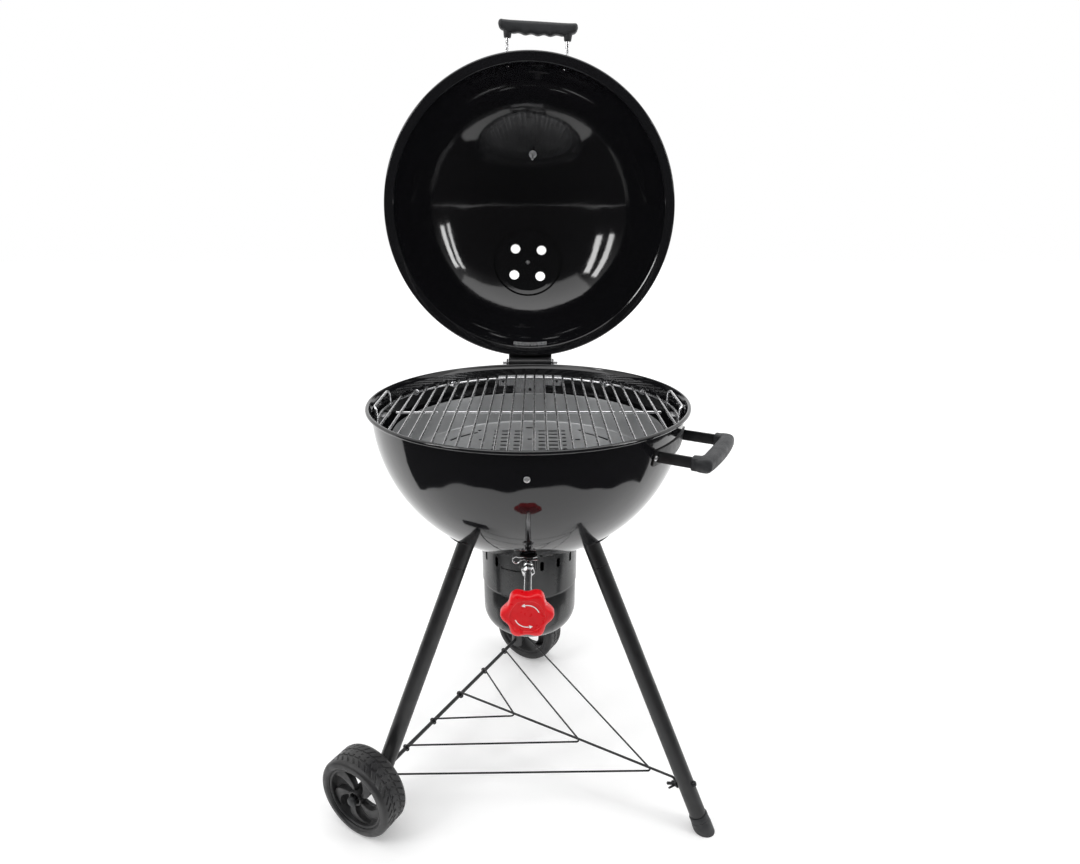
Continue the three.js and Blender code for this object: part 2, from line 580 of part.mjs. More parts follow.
function addLift() {
  const { z, shaft, bore, module, teeth, y, width } = LIFT;
  const pitch = (module * teeth) / 2;
  const near = y - width / 2;
  piece('charcoal_pan', panBody(), 'steel');

  // Knob, and the shaft it turns.
  const lobes = arcPoints(0, 0, 1, 0, 360, 36).slice(0, 36).map(([x, s], i) => {
    const r = KNOB.radius + KNOB.lobe * Math.cos((KNOB.lobes * i * Math.PI) / 18);
    return [x * r, s * r];
  });
  const bevel = { bevelThickness: 2.5, bevelSize: 2.5, bevelOffset: -2.5, bevelSegments: 1 };
  const knobSolid = prism(lobes, KNOB.depth - 5, 'xz', bevel).translate([0, KNOB.back - 2.5, z]);
  const face = KNOB.back - KNOB.depth;
  const recess = rod([0, face - 1, z], [0, face + 1.5, z], 27, 24);
  const socket = rod([0, KNOB.back + 1, z], [0, KNOB.back - 13, z], bore, 16);
  piece('knob', cut(knobSolid, recess, socket), 'red');
  piece('lift_shaft', rod([0, KNOB.back - 12.5, z], [0, near + width + 3, z], shaft, 16), 'chrome');

  // Threaded bushing with a hexagon end, and the black block that seats it on the bowl.
  const BUSH = { front: -211, hex: -196, back: -174.3 };
  const bush = join(
    rod([0, BUSH.front, z], [0, BUSH.hex, z], 11.5, 6),
    rod([0, BUSH.hex - 1, z], [0, BUSH.back, z], 8.6, 16),
  );
  const through = rod([0, -230, z], [0, -100, z], bore, 16);
  const clipHole = rod([-30, -181, z + 7.5], [30, -181, z + 7.5], 1.5, 6);
  piece('shaft_bushing', cut(bush, through, clipHole), 'chrome');
  const seat = join(
    block(24, 44, 24, [0, -152, z]),
    block(30, 4, 27, [0, -172, z]),
    wallSheet(0, GAP + 2.5, block(38, 70, 22, [0, -170, z])),
  );
  const chamber = rod([0, -230, z], [0, -100, z], bore, 16);
  piece('bushing_seat', cut(seat, bowlSolid, chamber), 'powder');

  // Spring clip: one leg through the bushing's wall above the shaft, the other over the outside.
  const CLIP = { y: -181, leg: 7.5, wire: 1.1, eye: 6, eyeX: -19.5 };
  const clip = [
    [15, CLIP.y, z + CLIP.leg], [CLIP.eyeX + CLIP.eye, CLIP.y, z + CLIP.leg],
    ...arcPoints(CLIP.eyeX, z + CLIP.leg, CLIP.eye, -40, -305, 8).map(([x, h]) => [x, CLIP.y, h]),
    [-9, CLIP.y, z + 12.5], [0, CLIP.y, z + 10.6], [8, CLIP.y, z + 11.4], [15, CLIP.y, z + 13.6],
  ];
  piece('r_clip', wire(clip, CLIP.wire, 5), 'chrome');

  // Pinion on the shaft's inner end, and the toothed bar that carries the pan.
  const pinion = prism(pinionOutline(), width, 'xz').translate([0, near + width, z]);
  piece('lift_pinion', cut(pinion, rod([0, near - 1, z], [0, near + width + 1, z], bore, 16)), 'steel');
  const step = Math.PI * module;
  const RACK = { addendum: 1.4, dedendum: 2.4, half: 6, low: 500, back: 23, lean: 0.36 };
  const tip = pitch - RACK.addendum;
  const root = pitch + RACK.dedendum;
  const tooth = (step / 2 - 0.35) / 2;
  const teethPoints = Array.from({ length: 2 * RACK.half }, (_, i) => {
    const c = z + (i - RACK.half + 0.5) * step;
    return [
      [root, c - tooth - RACK.dedendum * RACK.lean],
      [tip, c - tooth + RACK.addendum * RACK.lean],
      [tip, c + tooth - RACK.addendum * RACK.lean],
      [root, c + tooth + RACK.dedendum * RACK.lean],
    ];
  }).flat();
  const top = PAN.floor - PAN.sheet - GAP;
  const side = [
    [root, RACK.low], ...teethPoints, [root, top - 1], [RACK.back, top - 1], [RACK.back, RACK.low],
  ];
  const bar = prism(side, width, 'xz').translate([0, near + width, 0]);
  const carrier = join(
    rod([0, 0, top - 3], [0, 0, top], 60, 24),
    block(150, 20, 3, [0, 0, top - 1.5]),
    block(20, 150, 3, [0, 0, top - 1.5]),
  );
  piece('lift_rack', join(bar, carrier), 'steel');

  // Bridge over the bowl's mouth: shaft bearing, and a sleeve that keeps the rack upright.
  const foot = bowlRadiusAt(529, -SHEET) - 4;
  const FLOOR = 528;
  const slide = 0.4;
  const sleeveHigh = 606;
  const bridge = join(
    block(44, 2 * foot, 3, [8, 0, FLOOR + 1.5]),
    block(30, 5, 48, [0, near - 8, FLOOR + 24]),
    block(5, width + 8, sleeveHigh - FLOOR, [RACK.back + 3.4, y, (FLOOR + sleeveHigh) / 2]),
    block(RACK.back - root + 6.4, width + 8, 18, [(RACK.back + root) / 2 + 0.4, y, sleeveHigh - 9]),
  );
  const rackWay = block(
    RACK.back - tip + 2 * slide + 1,
    width + 2 * slide,
    200,
    [(RACK.back + tip) / 2 - 0.5, y, 560],
  );
  const trim = bowlFilled(-SHEET - GAP);
  const shaftWay = rod([0, -80, z], [0, 0, z], bore, 16);
  piece('lift_bridge', cut(bridge, rackWay, shaftWay).intersect(trim), 'steel');
}

// ---- Ash catcher --------------------------------------------------------------------------------
function obround(width, height, azimuth, z, inner, outer) {
  const half = (height - width) / 2;
  const upper = arcPoints(0, half, width / 2, 0, 180, 2);
  const lower = arcPoints(0, -half, width / 2, 180, 360, 2);
  return prism([...upper, ...lower], outer - inner, 'xz')
    .translate([0, -inner, z])
    .rotate([0, 0, azimuth + 90]);
}

function addAshCatcher() {
  const { radius, top, bottom, sheet } = COLLAR;
  const SLOT_Z = 500;
  const slots = [-82, -61, -41, 15, 36, 57, 100, 140, 180, 220].map((a) => a - 90);
  const wall = ring([
    [radius - sheet, bottom], [radius, bottom], [radius, top], [radius - 1.5, top],
    [72, 517.2], [72, 515.8], [radius - sheet, 520.5],
  ], 32);
  const LEVER = { from: -124, to: -83, z: 492, half: 2.7 };
  const leverSlot = ring([
    [radius - 4, LEVER.z - LEVER.half], [radius + 4, LEVER.z - LEVER.half],
    [radius + 4, LEVER.z + LEVER.half], [radius - 4, LEVER.z + LEVER.half],
  ], 32);
  const sector = prism([[0, 0], ...arcPoints(0, 0, 120, LEVER.from, LEVER.to, 4)], 40)
    .translate([0, 0, LEVER.z - 20]);
  const vents = slots.map((a) => obround(7, 19, a, SLOT_Z, radius - 8, radius + 8));
  piece('ash_collar', cut(wall, leverSlot.intersect(sector), ...vents), 'ash');

  // Air damper: a band inside the collar with the same slots, moved by a tab in the long slot.
  const outer = radius - sheet - 0.5;
  const band = ring([[outer - 1.2, 476], [outer, 476], [outer, 513], [outer - 1.2, 513]], 32);
  const TAB = -86.5;
  const tab = block(15, 5, 2.2, [outer + 6.5, 0, LEVER.z]).rotate([0, 0, TAB]);
  const grip = block(3, 8, 7, [outer + 14.5, 0, LEVER.z]).rotate([0, 0, TAB]);
  const bandSlots = slots.map((a) => obround(9, 21, a, SLOT_Z, radius - 8, radius + 8));
  piece('ash_damper', join(cut(band, ...bandSlots), tab, grip), 'ash');

  const { radius: r, top: high, bottom: low, corner, sheet: thin } = BUCKET;
  const shell = lathe([
    [0, low], ...arcPoints(r - corner, low + corner, corner, -90, 0, 4), [r, high], [r - thin, high],
    ...arcPoints(r - corner, low + corner, corner - thin, 0, -90, 4), [0, low + thin],
  ], 32);
  piece('ash_bucket', shell, 'ash');
}

// ---- Side handle --------------------------------------------------------------------------------
function addSideHandle() {
  const AZIMUTH = -29;
  const place = groupAt(grill, [0, 0, 0], { rz: AZIMUTH });
  const Z = 745;
  const BAR = { y: 63, thick: 4, height: 18, start: 240, end: 320 };
  const SCREW_Y = 71;
  const turned = (body) => body.rotate([0, 0, AZIMUTH]);
  const plate = wallSheet(0, GAP + 2.2, turned(block(80, 2 * BAR.y + 26, 28, [268, 0, Z])));
  const bars = [-1, 1].map((side) =>
    block(BAR.end - BAR.start, BAR.thick, BAR.height, [(BAR.end + BAR.start) / 2, side * BAR.y, Z]));
  piece('side_handle_bracket', cut(join(plate, ...bars.map(turned)), bowlSolid), 'powder');
  const bevel = { bevelThickness: 3, bevelSize: 3, bevelOffset: -3, bevelSegments: 1 };
  const outline = [
    [BAR.end + GAP, -73], [352, -73], [355, -50], [357, 0], [355, 50], [352, 73], [BAR.end + GAP, 73],
    [BAR.end + GAP, 55], [330, 48], [332, 0], [330, -48], [BAR.end + GAP, -55],
  ];
  piece('side_handle_grip', prism(outline, 20, 'xy', bevel).translate([0, 0, Z - 10]), 'plastic', place);
  for (const [name, side] of [['front', -1], ['rear', 1]]) {
    const r = Math.sqrt(bowlRadiusAt(Z, GAP + 2.8) ** 2 - SCREW_Y ** 2);
    const seat = groupAt(place, [r, side * SCREW_Y, Z], { ry: 98 });
    seat.rotateOnWorldAxis(new THREE.Vector3(0, 0, 1), side * Math.asin(SCREW_Y / 272));
    piece(`side_handle_screw_${name}`, buttonHead(4.5, 3), 'steel', seat);
  }
}

// ---- Tripod -------------------------------------------------------------------------------------
const across = new THREE.Vector3(Math.cos(rad(LEG.azimuth)), Math.sin(rad(LEG.azimuth)), 0);
const along = new THREE.Vector3(-across.y, across.x, 0); // the axle's direction, to the rear wheel
const axlePoint = (s, z = AXLE.z) =>
  across.clone().multiplyScalar(-AXLE.offset).addScaledVector(along, s).setZ(z);

function polar(r, azimuth, z) {
  return new THREE.Vector3(r * Math.cos(rad(azimuth)), r * Math.sin(rad(azimuth)), z);
}

// A point on the rack bolt's line, which is square to the leg it goes through.
const BOLT_Z = 88;
const LEG_SLOPE = (LEG.footR - LEG.topR) / (LEG.topZ - LEG.footZ);
function boltPoint(outward, up = 0) {
  const lean = Math.atan(LEG_SLOPE);
  const centre = polar(LEG.topR + LEG_SLOPE * (LEG.topZ - BOLT_Z), LEG.azimuth, BOLT_Z);
  const normal = across.clone().multiplyScalar(Math.cos(lean)).setZ(Math.sin(lean));
  const rise = across.clone().multiplyScalar(-Math.sin(lean)).setZ(Math.cos(lean));
  return centre.addScaledVector(normal, outward).addScaledVector(rise, up);
}

// Neck as wide as the leg, with a plug in it and a plate that follows the bowl; `frame` runs down the leg.
function legSocket(azimuth, frame) {
  const PLUG = LEG.radius - LEG.wall - GAP;
  const REACH = -75; // ends inside the bowl, which trims it
  const cup = lathe([
    [0, REACH], [LEG.radius, REACH], [LEG.radius, -GAP], [PLUG, -GAP], [PLUG, 22], [0, 22],
  ], 14).transform(frame.toArray());
  const pad = wallSheet(0, GAP + 3, block(70, 62, 30, [132, 0, 545]).rotate([0, 0, azimuth]));
  return cut(join(cup, pad), bowlSolid);
}

function addLegs() {
  const tube = (length) => ring([
    [LEG.radius - LEG.wall, 0], [LEG.radius, 0], [LEG.radius, length], [LEG.radius - LEG.wall, length],
  ], 14);
  const foot = polar(LEG.footR, LEG.azimuth, LEG.footZ);
  const tails = [
    ['right', LEG.azimuth, foot],
    ['left', 180 - LEG.azimuth, axlePoint(-AXLE.leg)],
    ['rear', 90, axlePoint(AXLE.leg)],
  ];
  for (const [name, azimuth, end] of tails) {
    const top = polar(LEG.topR, azimuth, LEG.topZ);
    const down = end.clone().sub(top).normalize();
    const extra = name === 'right' ? 0 : 19;
    const length = top.distanceTo(end) + extra;
    const place = groupAlong(grill, top.toArray(), down.toArray());
    place.updateMatrix();
    const inverse = place.matrix.clone().invert().toArray();
    const drill = name === 'right'
      ? rod(boltPoint(-40).toArray(), boltPoint(40).toArray(), 3.4, 8)
      : rod(axlePoint(-400).toArray(), axlePoint(400).toArray(), AXLE.radius + GAP, 12);
    piece(`leg_${name}`, cut(tube(length), drill.transform(inverse)), 'powder', place);
    piece(`leg_socket_${name}`, legSocket(azimuth, place.matrix), 'powder');
  }

  // Plastic foot on the leg without a wheel, cut level with the floor.
  const top = polar(LEG.topR, LEG.azimuth, LEG.topZ);
  const end = top.distanceTo(foot);
  const WALL = 2.6;
  const inside = LEG.radius + GAP;
  const cup = lathe([
    [0, end + GAP], [inside, end + GAP], [inside, end - 24],
    [inside + WALL, end - 22], [inside + WALL, end + 30], [0, end + 30],
  ], 14);
  const frame = groupAlong(new THREE.Group(), top.toArray(), foot.clone().sub(top).toArray());
  frame.updateMatrix();
  const underFloor = block(200, 200, 60, [foot.x, foot.y, -30]);
  piece('foot_cap', cut(cup.transform(frame.matrix.toArray()), underFloor), 'plastic');
}

// ---- Wheels on one axle -------------------------------------------------------------------------
function tyreBody() {
  const { radius, width, rim } = WHEEL;
  const half = width / 2;
  const side = [
    [rim + GAP, half - 4], [rim + 6, half],
    [radius - 6.6, half - 0.3], [radius - 1.6, half - 3.4], [radius, half - 7.4],
  ];
  return ring([...side.map(([r, z]) => [r, -z]), ...side.reverse()], 30);
}

function rimBody() {
  const { width, rim, hub, bore } = WHEEL;
  const half = width / 2;
  const band = ring([[rim - 5, -half + 5], [rim, -half + 5], [rim, half - 5], [rim - 5, half - 5]], 30);
  const boss = rod([0, 0, -half - 0.4], [0, 0, half - 6], hub, 16);
  const well = rod([0, 0, half - 14], [0, 0, half + 4], hub - 4, 16);
  const SPOKES = 5;
  const spokes = Array.from({ length: SPOKES }, (_, i) => {
    const start = (360 / SPOKES) * i;
    const edge = (shift, swirl) => Array.from({ length: 6 }, (_, k) => {
      const t = k / 5;
      const r = hub - 3 + (rim - 2 - hub + 1) * t;
      const angle = rad(start + shift * (0.55 + 0.45 * t) + swirl * t * t);
      return [r * Math.cos(angle), r * Math.sin(angle)];
    });
    return prism([...edge(-16, 38), ...edge(20, 34).reverse()], 9).translate([0, 0, half - 20]);
  });
  return cut(join(band, boss, ...spokes), well, rod([0, 0, -half - 5], [0, 0, half], bore, 12));
}

function addWheels() {
  const middle = WHEEL.near + WHEEL.width / 2;
  const [start, end] = [axlePoint(-AXLE.half), axlePoint(AXLE.half)];
  piece('axle', rod(start.toArray(), end.toArray(), AXLE.radius, 12), 'powder');
  const tyre = tyreBody();
  const rim = rimBody();
  const half = WHEEL.width / 2;
  const cap = ring([
    [AXLE.radius + GAP, 0], [9.5, 0], [9.5, 3], [7.5, 6.5], [0, 7.5], [0, 5], [AXLE.radius + GAP, 5],
  ], 12);
  for (const [name, side] of [['left', -1], ['rear', 1]]) {
    const outward = along.clone().multiplyScalar(side);
    const place = groupAlong(grill, axlePoint(side * middle).toArray(), outward.toArray());
    piece(`tyre_${name}`, tyre, 'plastic', place);
    piece(`wheel_${name}`, rim, 'plastic', place);
    const capZ = AXLE.half - middle - 4.5;
    piece(`axle_cap_${name}`, cap.translate([0, 0, capZ]), 'plastic', place);
  }
}

// ---- Wire rack between the axle and the front leg ------------------------------------------------
function addRack() {
  const at = (e, s, z) => axlePoint(s, z).addScaledVector(across, e).toArray();
  const hook = (radius, thick, s) => {
    const loop = new THREE.TorusGeometry(radius, thick, 5, 10);
    loop.applyQuaternion(new THREE.Quaternion().setFromUnitVectors(new THREE.Vector3(0, 0, 1), along));
    loop.translate(...at(0, s, AXLE.z));
    return solid(loop);
  };
  const CLEAR = AXLE.radius + GAP;
  const high = AXLE.z + CLEAR + WIRE.main;
  const eyeRadius = 3.4 + WIRE.main;
  const eyeOut = -(LEG.radius + GAP + WIRE.main);
  const square = boltPoint(1).sub(boltPoint(0));
  const eye = solid(new THREE.TorusGeometry(eyeRadius, WIRE.main, 5, 10)
    .applyQuaternion(new THREE.Quaternion().setFromUnitVectors(new THREE.Vector3(0, 0, 1), square))
    .translate(...boltPoint(eyeOut).toArray()));
  const route = [
    at(0, 0, high), at(150, 0, 88.6), at(300, 0, 90.4),
    ...[[-36, 20], [-27, 15.5], [-20.5, 12], [eyeOut, eyeRadius - 0.6]]
      .map(([out, up]) => boltPoint(out, up).toArray()),
  ];
  const mainHook = hook(CLEAR + WIRE.main, WIRE.main, 0);
  piece('rack_main_wire', join(mainHook, wire(route, WIRE.main, 6), eye), 'powder');

  const spans = [['short', 96, 142, 88.5], ['middle', 183, 297, 90.3], ['long', 269, 450, 90.7]];
  for (const [name, half, reach, above] of spans) {
    const radius = CLEAR + WIRE.side;
    const apexZ = above - WIRE.main - WIRE.side - 0.6;
    const wires = [-1, 1].flatMap((side) => [
      hook(radius, WIRE.side, side * half),
      rod(at(-1, side * half, AXLE.z + radius - 0.3), at(reach + 1, -side * 0.6, apexZ), WIRE.side, 6),
    ]);
    piece(`rack_wire_${name}`, join(...wires), 'powder');
  }

  // Bolt through the leg, with a wing nut that clamps the main wire's eye.
  const head = LEG.radius + GAP;
  const bolt = join(
    rod(boltPoint(-40).toArray(), boltPoint(head + 2).toArray(), 3, 8),
    rod(boltPoint(head).toArray(), boltPoint(head + 4.5).toArray(), 5.5, 10),
  );
  piece('rack_bolt', bolt, 'steel');
  const wings = [-1, 1].map((side) => prism(
    [[0, side * 3], [-9, side * 14], [-12, side * 13], [-7, side * 3]], 2.4,
  ).translate([0, 0, -1.2]));
  const barrel = rod([-8, 0, 0], [0, 0, 0], 6, 10);
  const nut = cut(join(barrel, ...wings), rod([-20, 0, 0], [20, 0, 0], 3.3, 8));
  const face = boltPoint(eyeOut - WIRE.main - GAP).toArray();
  const lean = THREE.MathUtils.radToDeg(Math.atan(LEG_SLOPE));
  piece('rack_wing_nut', nut, 'steel', groupAt(grill, face, { ry: -lean, rz: LEG.azimuth }));
}

addBowl();
addBowlHinge();
addLid();
addGrate();
addLift();
addAshCatcher();
addSideHandle();
addLegs();
addWheels();
addRack();

// The origin goes on the floor under the middle of the open grill's bounding box.
const root = new THREE.Group();
root.add(grill);
root.updateMatrixWorld(true);
const extent = new THREE.Box3().setFromObject(grill, true);
const centre = extent.getCenter(new THREE.Vector3());
grill.position.set(-centre.x, -centre.y, -extent.min.z);

export default root;
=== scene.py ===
"""Kettle charcoal grill with its lid open. Shapes are drawn in millimetres about the bowl's axis."""

import math

import bmesh
import bpy
from mathutils import Matrix, Quaternion, Vector


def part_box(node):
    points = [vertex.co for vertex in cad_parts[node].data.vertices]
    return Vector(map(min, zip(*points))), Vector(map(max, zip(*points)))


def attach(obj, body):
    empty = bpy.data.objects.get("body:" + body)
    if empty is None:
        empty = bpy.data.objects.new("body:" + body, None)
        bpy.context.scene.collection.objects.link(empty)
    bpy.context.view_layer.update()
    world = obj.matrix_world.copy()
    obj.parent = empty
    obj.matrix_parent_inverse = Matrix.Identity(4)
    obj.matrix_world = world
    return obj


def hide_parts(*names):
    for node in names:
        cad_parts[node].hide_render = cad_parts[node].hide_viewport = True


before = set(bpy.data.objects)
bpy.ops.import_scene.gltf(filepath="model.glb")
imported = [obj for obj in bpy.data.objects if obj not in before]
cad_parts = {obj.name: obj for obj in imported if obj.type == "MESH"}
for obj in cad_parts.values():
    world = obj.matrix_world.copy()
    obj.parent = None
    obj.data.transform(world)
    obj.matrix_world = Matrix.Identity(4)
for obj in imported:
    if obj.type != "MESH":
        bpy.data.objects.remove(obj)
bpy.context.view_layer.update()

MM = 0.001
low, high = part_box("bowl")
AXIS = Vector(((low.x + high.x) / 2, (low.y + high.y) / 2, 0.0))
WORLD = Matrix.Translation(AXIS) @ Matrix.Scale(MM, 4)

# ---- Driving dimensions, in mm ----
GAP = 0.3
SHEET = 1.6
BOWL_R, BOWL_DEPTH, BOWL_Z, BOWL_MOUTH = 275.0, 273.0, 782.0, 62.0
LID_R, LID_H, LID_Z, LID_TURN = 285.6, 206.0, 795.0, 3.0
HINGE_Y, HINGE_Z = 318.0, 785.0
GRATE_Z, GRATE_R, GRATE_PITCH, FLAP_X = 763.0, 266.0, 19.8, 158.4
LIFT_Z = 557.0
LEG_R, LEG_AZ = 15.5, -30.0
LEG_TOP_R, LEG_TOP_Z, FOOT_R, FOOT_Z = 149, 495, 374.6, 9
AXLE_Z, AXLE_OFF = 80.0, 182.2
WHEEL_MID = 304.0


# ---- Materials ----
class Paint:
    """A Principled material with a few node helpers."""

    def __init__(self, name, color, rough, metal=0.0):
        self.mat = bpy.data.materials.new(name)
        self.mat.use_nodes = True
        self.mat.diffuse_color = (*color, 1)
        self.tree = self.mat.node_tree
        self.shader = next(n for n in self.tree.nodes if n.type == "BSDF_PRINCIPLED")
        self.set("Base Color", (*color, 1))
        self.set("Roughness", rough)
        self.set("Metallic", metal)
        self.height = None

    def set(self, socket, value):
        self.shader.inputs[socket].default_value = value
        return self

    def node(self, kind, **values):
        made = self.tree.nodes.new(kind)
        for key, value in values.items():
            if key in made.inputs:
                made.inputs[key].default_value = value
            else:
                setattr(made, key, value)
        return made

    def link(self, out, socket):
        self.tree.links.new(out, socket)

    def coords(self, scale=(1, 1, 1)):
        spot = self.node("ShaderNodeTexCoord")
        mapping = self.node("ShaderNodeMapping")
        mapping.inputs["Scale"].default_value = scale
        self.link(spot.outputs["Object"], mapping.inputs["Vector"])
        return mapping.outputs["Vector"]

    def noise(self, scale, detail, stretch=(1, 1, 1)):
        made = self.node("ShaderNodeTexNoise", Scale=scale, Detail=detail, Roughness=0.55)
        self.link(self.coords(stretch), made.inputs["Vector"])
        return made.outputs["Fac"]

    def cells(self, scale):
        made = self.node("ShaderNodeTexVoronoi", Scale=scale)
        self.link(self.coords(), made.inputs["Vector"])
        return made.outputs["Distance"]

    def span(self, source, low, high, start=0.3, end=0.7):
        made = self.node("ShaderNodeMapRange")
        for key, value in (("From Min", start), ("From Max", end), ("To Min", low), ("To Max", high)):
            made.inputs[key].default_value = value
        self.link(source, made.inputs["Value"])
        return made.outputs["Result"]

    def vary_rough(self, noise, low, high):
        """Roughness between two values, by a noise given as (scale, detail, stretch)."""
        self.link(self.span(self.noise(*noise), low, high), self.shader.inputs["Roughness"])
        return self

    def vary_color(self, noise, first, second, start=0.3, end=0.7):
        source = self.noise(*noise)
        mix = self.node("ShaderNodeMix", data_type="RGBA")
        mix.inputs["A"].default_value = (*first, 1)
        mix.inputs["B"].default_value = (*second, 1)
        self.link(self.span(source, 0, 1, start, end), mix.inputs["Factor"])
        self.link(mix.outputs["Result"], self.shader.inputs["Base Color"])
        return self

    def bump(self, noise, strength, distance, cells=False):
        source = self.cells(*noise) if cells else self.noise(*noise)
        made = self.node("ShaderNodeBump", Strength=strength, Distance=distance)
        self.link(source, made.inputs["Height"])
        if self.height:
            self.link(self.height, made.inputs["Normal"])
        self.height = made.outputs["Normal"]
        self.link(self.height, self.shader.inputs["Normal"])
        return self


def make_materials():
    made = {}

    def paint(key, *settings):
        p = Paint(*settings)
        made[key] = p.mat
        return p

    p = paint("enamel", "enamel", (0.006, 0.006, 0.007), 0.07)
    p.set("Coat Weight", 0.3).set("Coat Roughness", 0.03)
    p.vary_rough((9, 6), 0.045, 0.11)
    p.bump((6, 2), 0.22, 0.010).bump((26, 2), 0.14, 0.0015)
    p.bump((420, 2), 0.05, 0.0003)

    p = paint("powder", "powder_coat", (0.012, 0.012, 0.013), 0.4)
    p.vary_rough((60, 5), 0.3, 0.48)
    p.bump((900, 2), 0.22, 0.0003)

    p = paint("plastic", "moulded_plastic", (0.021, 0.022, 0.024), 0.5)
    p.vary_color((35, 5), (0.016, 0.017, 0.019), (0.030, 0.031, 0.034))
    p.vary_rough((80, 4), 0.42, 0.62)
    p.bump((1100,), 0.3, 0.0004, cells=True)

    p = paint("wheel", "wheel_plastic", (0.018, 0.018, 0.02), 0.42)
    p.vary_color((14, 6), (0.013, 0.013, 0.015), (0.035, 0.034, 0.033), 0.35, 0.85)
    p.vary_rough((45, 6), 0.3, 0.6)
    p.bump((700, 3), 0.2, 0.0004)

    p = paint("red", "red_plastic", (0.72, 0.004, 0.009), 0.3)
    p.set("Coat Weight", 0.12).set("Coat Roughness", 0.1).set("Specular IOR Level", 0.32)
    p.vary_color((40, 4), (0.68, 0.003, 0.008), (0.80, 0.006, 0.012))
    p.vary_rough((120, 4), 0.24, 0.4)
    p.bump((1400, 2), 0.08, 0.0002)

    p = paint("white", "white_print", (0.85, 0.85, 0.84), 0.45)
    p.vary_rough((300, 3), 0.4, 0.55)

    p = paint("chrome", "chrome", (0.72, 0.72, 0.73), 0.14, 1.0)
    p.vary_rough((220, 4), 0.09, 0.24)
    p.bump((1600, 2), 0.06, 0.0002)

    p = paint("wire", "grate_wire", (0.80, 0.80, 0.81), 0.2, 1.0)
    p.vary_color((70, 4), (0.66, 0.66, 0.67), (0.90, 0.90, 0.91))
    p.vary_rough((260, 4), 0.14, 0.32)
    p.bump((2200, 2), 0.12, 0.0002)

    p = paint("zinc", "bright_zinc", (0.7, 0.7, 0.71), 0.38, 0.3)
    p.vary_rough((400, 4), 0.3, 0.5)
    p.bump((1700, 2), 0.1, 0.0002)

    p = paint("dark", "black_zinc", (0.03, 0.03, 0.032), 0.35, 0.7)
    p.vary_rough((300, 4), 0.25, 0.45)
    p.bump((1500, 2), 0.1, 0.0002)

    p = paint("steel", "stainless", (0.62, 0.62, 0.63), 0.34, 0.75)
    p.vary_rough((320, 3, (1, 1, 0.04)), 0.2, 0.42)
    p.bump((900, 2, (0.05, 1, 1)), 0.1, 0.0002)

    p = paint("pan", "pan_steel", (0.45, 0.455, 0.46), 0.42, 0.7)
    p.vary_color((16, 6), (0.38, 0.385, 0.39), (0.52, 0.525, 0.53))
    p.vary_rough((150, 5), 0.34, 0.52)
    p.bump((1300, 2), 0.1, 0.0002)

    p = paint("ash", "ash_coat", (0.016, 0.017, 0.018), 0.26)
    p.set("Coat Weight", 0.3).set("Coat Roughness", 0.15)
    p.vary_rough((22, 6), 0.2, 0.36)
    p.bump((60, 3), 0.06, 0.0006).bump((1000, 2), 0.1, 0.0002)

    p = paint("dial", "dial_face", (0.8, 0.8, 0.77), 0.4)
    p.vary_rough((200, 3), 0.35, 0.5)
    return made


MATERIALS = make_materials()
SMOOTH = math.radians(32)
PUNCH = 30  # how far a hole's tool reaches to each side
TIP_SIZE, TIP_REACH = 0.6, 0.4  # a wire's eased end, in shares of its radius


# ---- Mesh helpers ----
def linked(name, data):
    made = bpy.data.objects.new(name, data)
    bpy.context.scene.collection.objects.link(made)
    return made


def object_from(name, bm, matrix=None):
    bm.normal_update()
    bmesh.ops.recalc_face_normals(bm, faces=bm.faces)
    mesh = bpy.data.meshes.new(name)
    bm.transform(WORLD @ (matrix or Matrix()))
    bm.to_mesh(mesh)
    bm.free()
    return linked(name, mesh)


def bake(made, *modifiers):
    """Adds (type, settings) modifiers and writes their result into the mesh."""
    for kind, settings in modifiers:
        modifier = made.modifiers.new(kind.lower(), kind)
        for key, value in settings.items():
            setattr(modifier, key, value)
    bpy.context.view_layer.update()
    graph = bpy.context.evaluated_depsgraph_get()
    mesh = bpy.data.meshes.new_from_object(made.evaluated_get(graph))
    made.modifiers.clear()
    made.data = mesh
    return made


def cut(made, *tools, operation="DIFFERENCE"):
    for tool in tools:
        bake(made, ("BOOLEAN", {"object": tool, "operation": operation, "solver": "EXACT"}))
        bpy.data.objects.remove(tool)
    return made


def soften(made, width, segments=3, angle=35):
    settings = {"width": width * MM, "segments": segments, "limit_method": "ANGLE",
                "angle_limit": math.radians(angle), "harden_normals": False}
    return bake(made, ("BEVEL", settings))


def finish(made, paint, body, *replaced):
    made.data.materials.clear()
    made.data.materials.append(MATERIALS[paint])
    for face in made.data.polygons:
        face.use_smooth = True
    made.data.set_sharp_from_angle(angle=SMOOTH)
    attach(made, body)
    if replaced:
        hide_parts(*replaced)
    return made


def arc(cx, cy, r, start, end, steps):
    return [
        (cx + r * math.cos(math.radians(start + (end - start) * i / steps)),
         cy + r * math.sin(math.radians(start + (end - start) * i / steps)))
        for i in range(steps + 1)
    ]


def ellipse(r, height, z, start, end, steps):
    return [(x * r, z + y * height) for x, y in arc(0, 0, 1, start, end, steps)]


def soft_oval(across, tall, power):
    """Points (cosine, x, y) of an oval whose corners fill up as the power falls."""
    turns = [2 * math.pi * k / 32 for k in range(32)]
    return [(math.cos(a), math.copysign(abs(math.cos(a)) ** power, math.cos(a)) * across,
             math.copysign(abs(math.sin(a)) ** power, math.sin(a)) * tall) for a in turns]


def join_bm(*parts):
    whole = parts[0]
    for part in parts[1:]:
        mesh = bpy.data.meshes.new("join")
        part.to_mesh(mesh)
        part.free()
        whole.from_mesh(mesh)
        bpy.data.meshes.remove(mesh)
    return whole


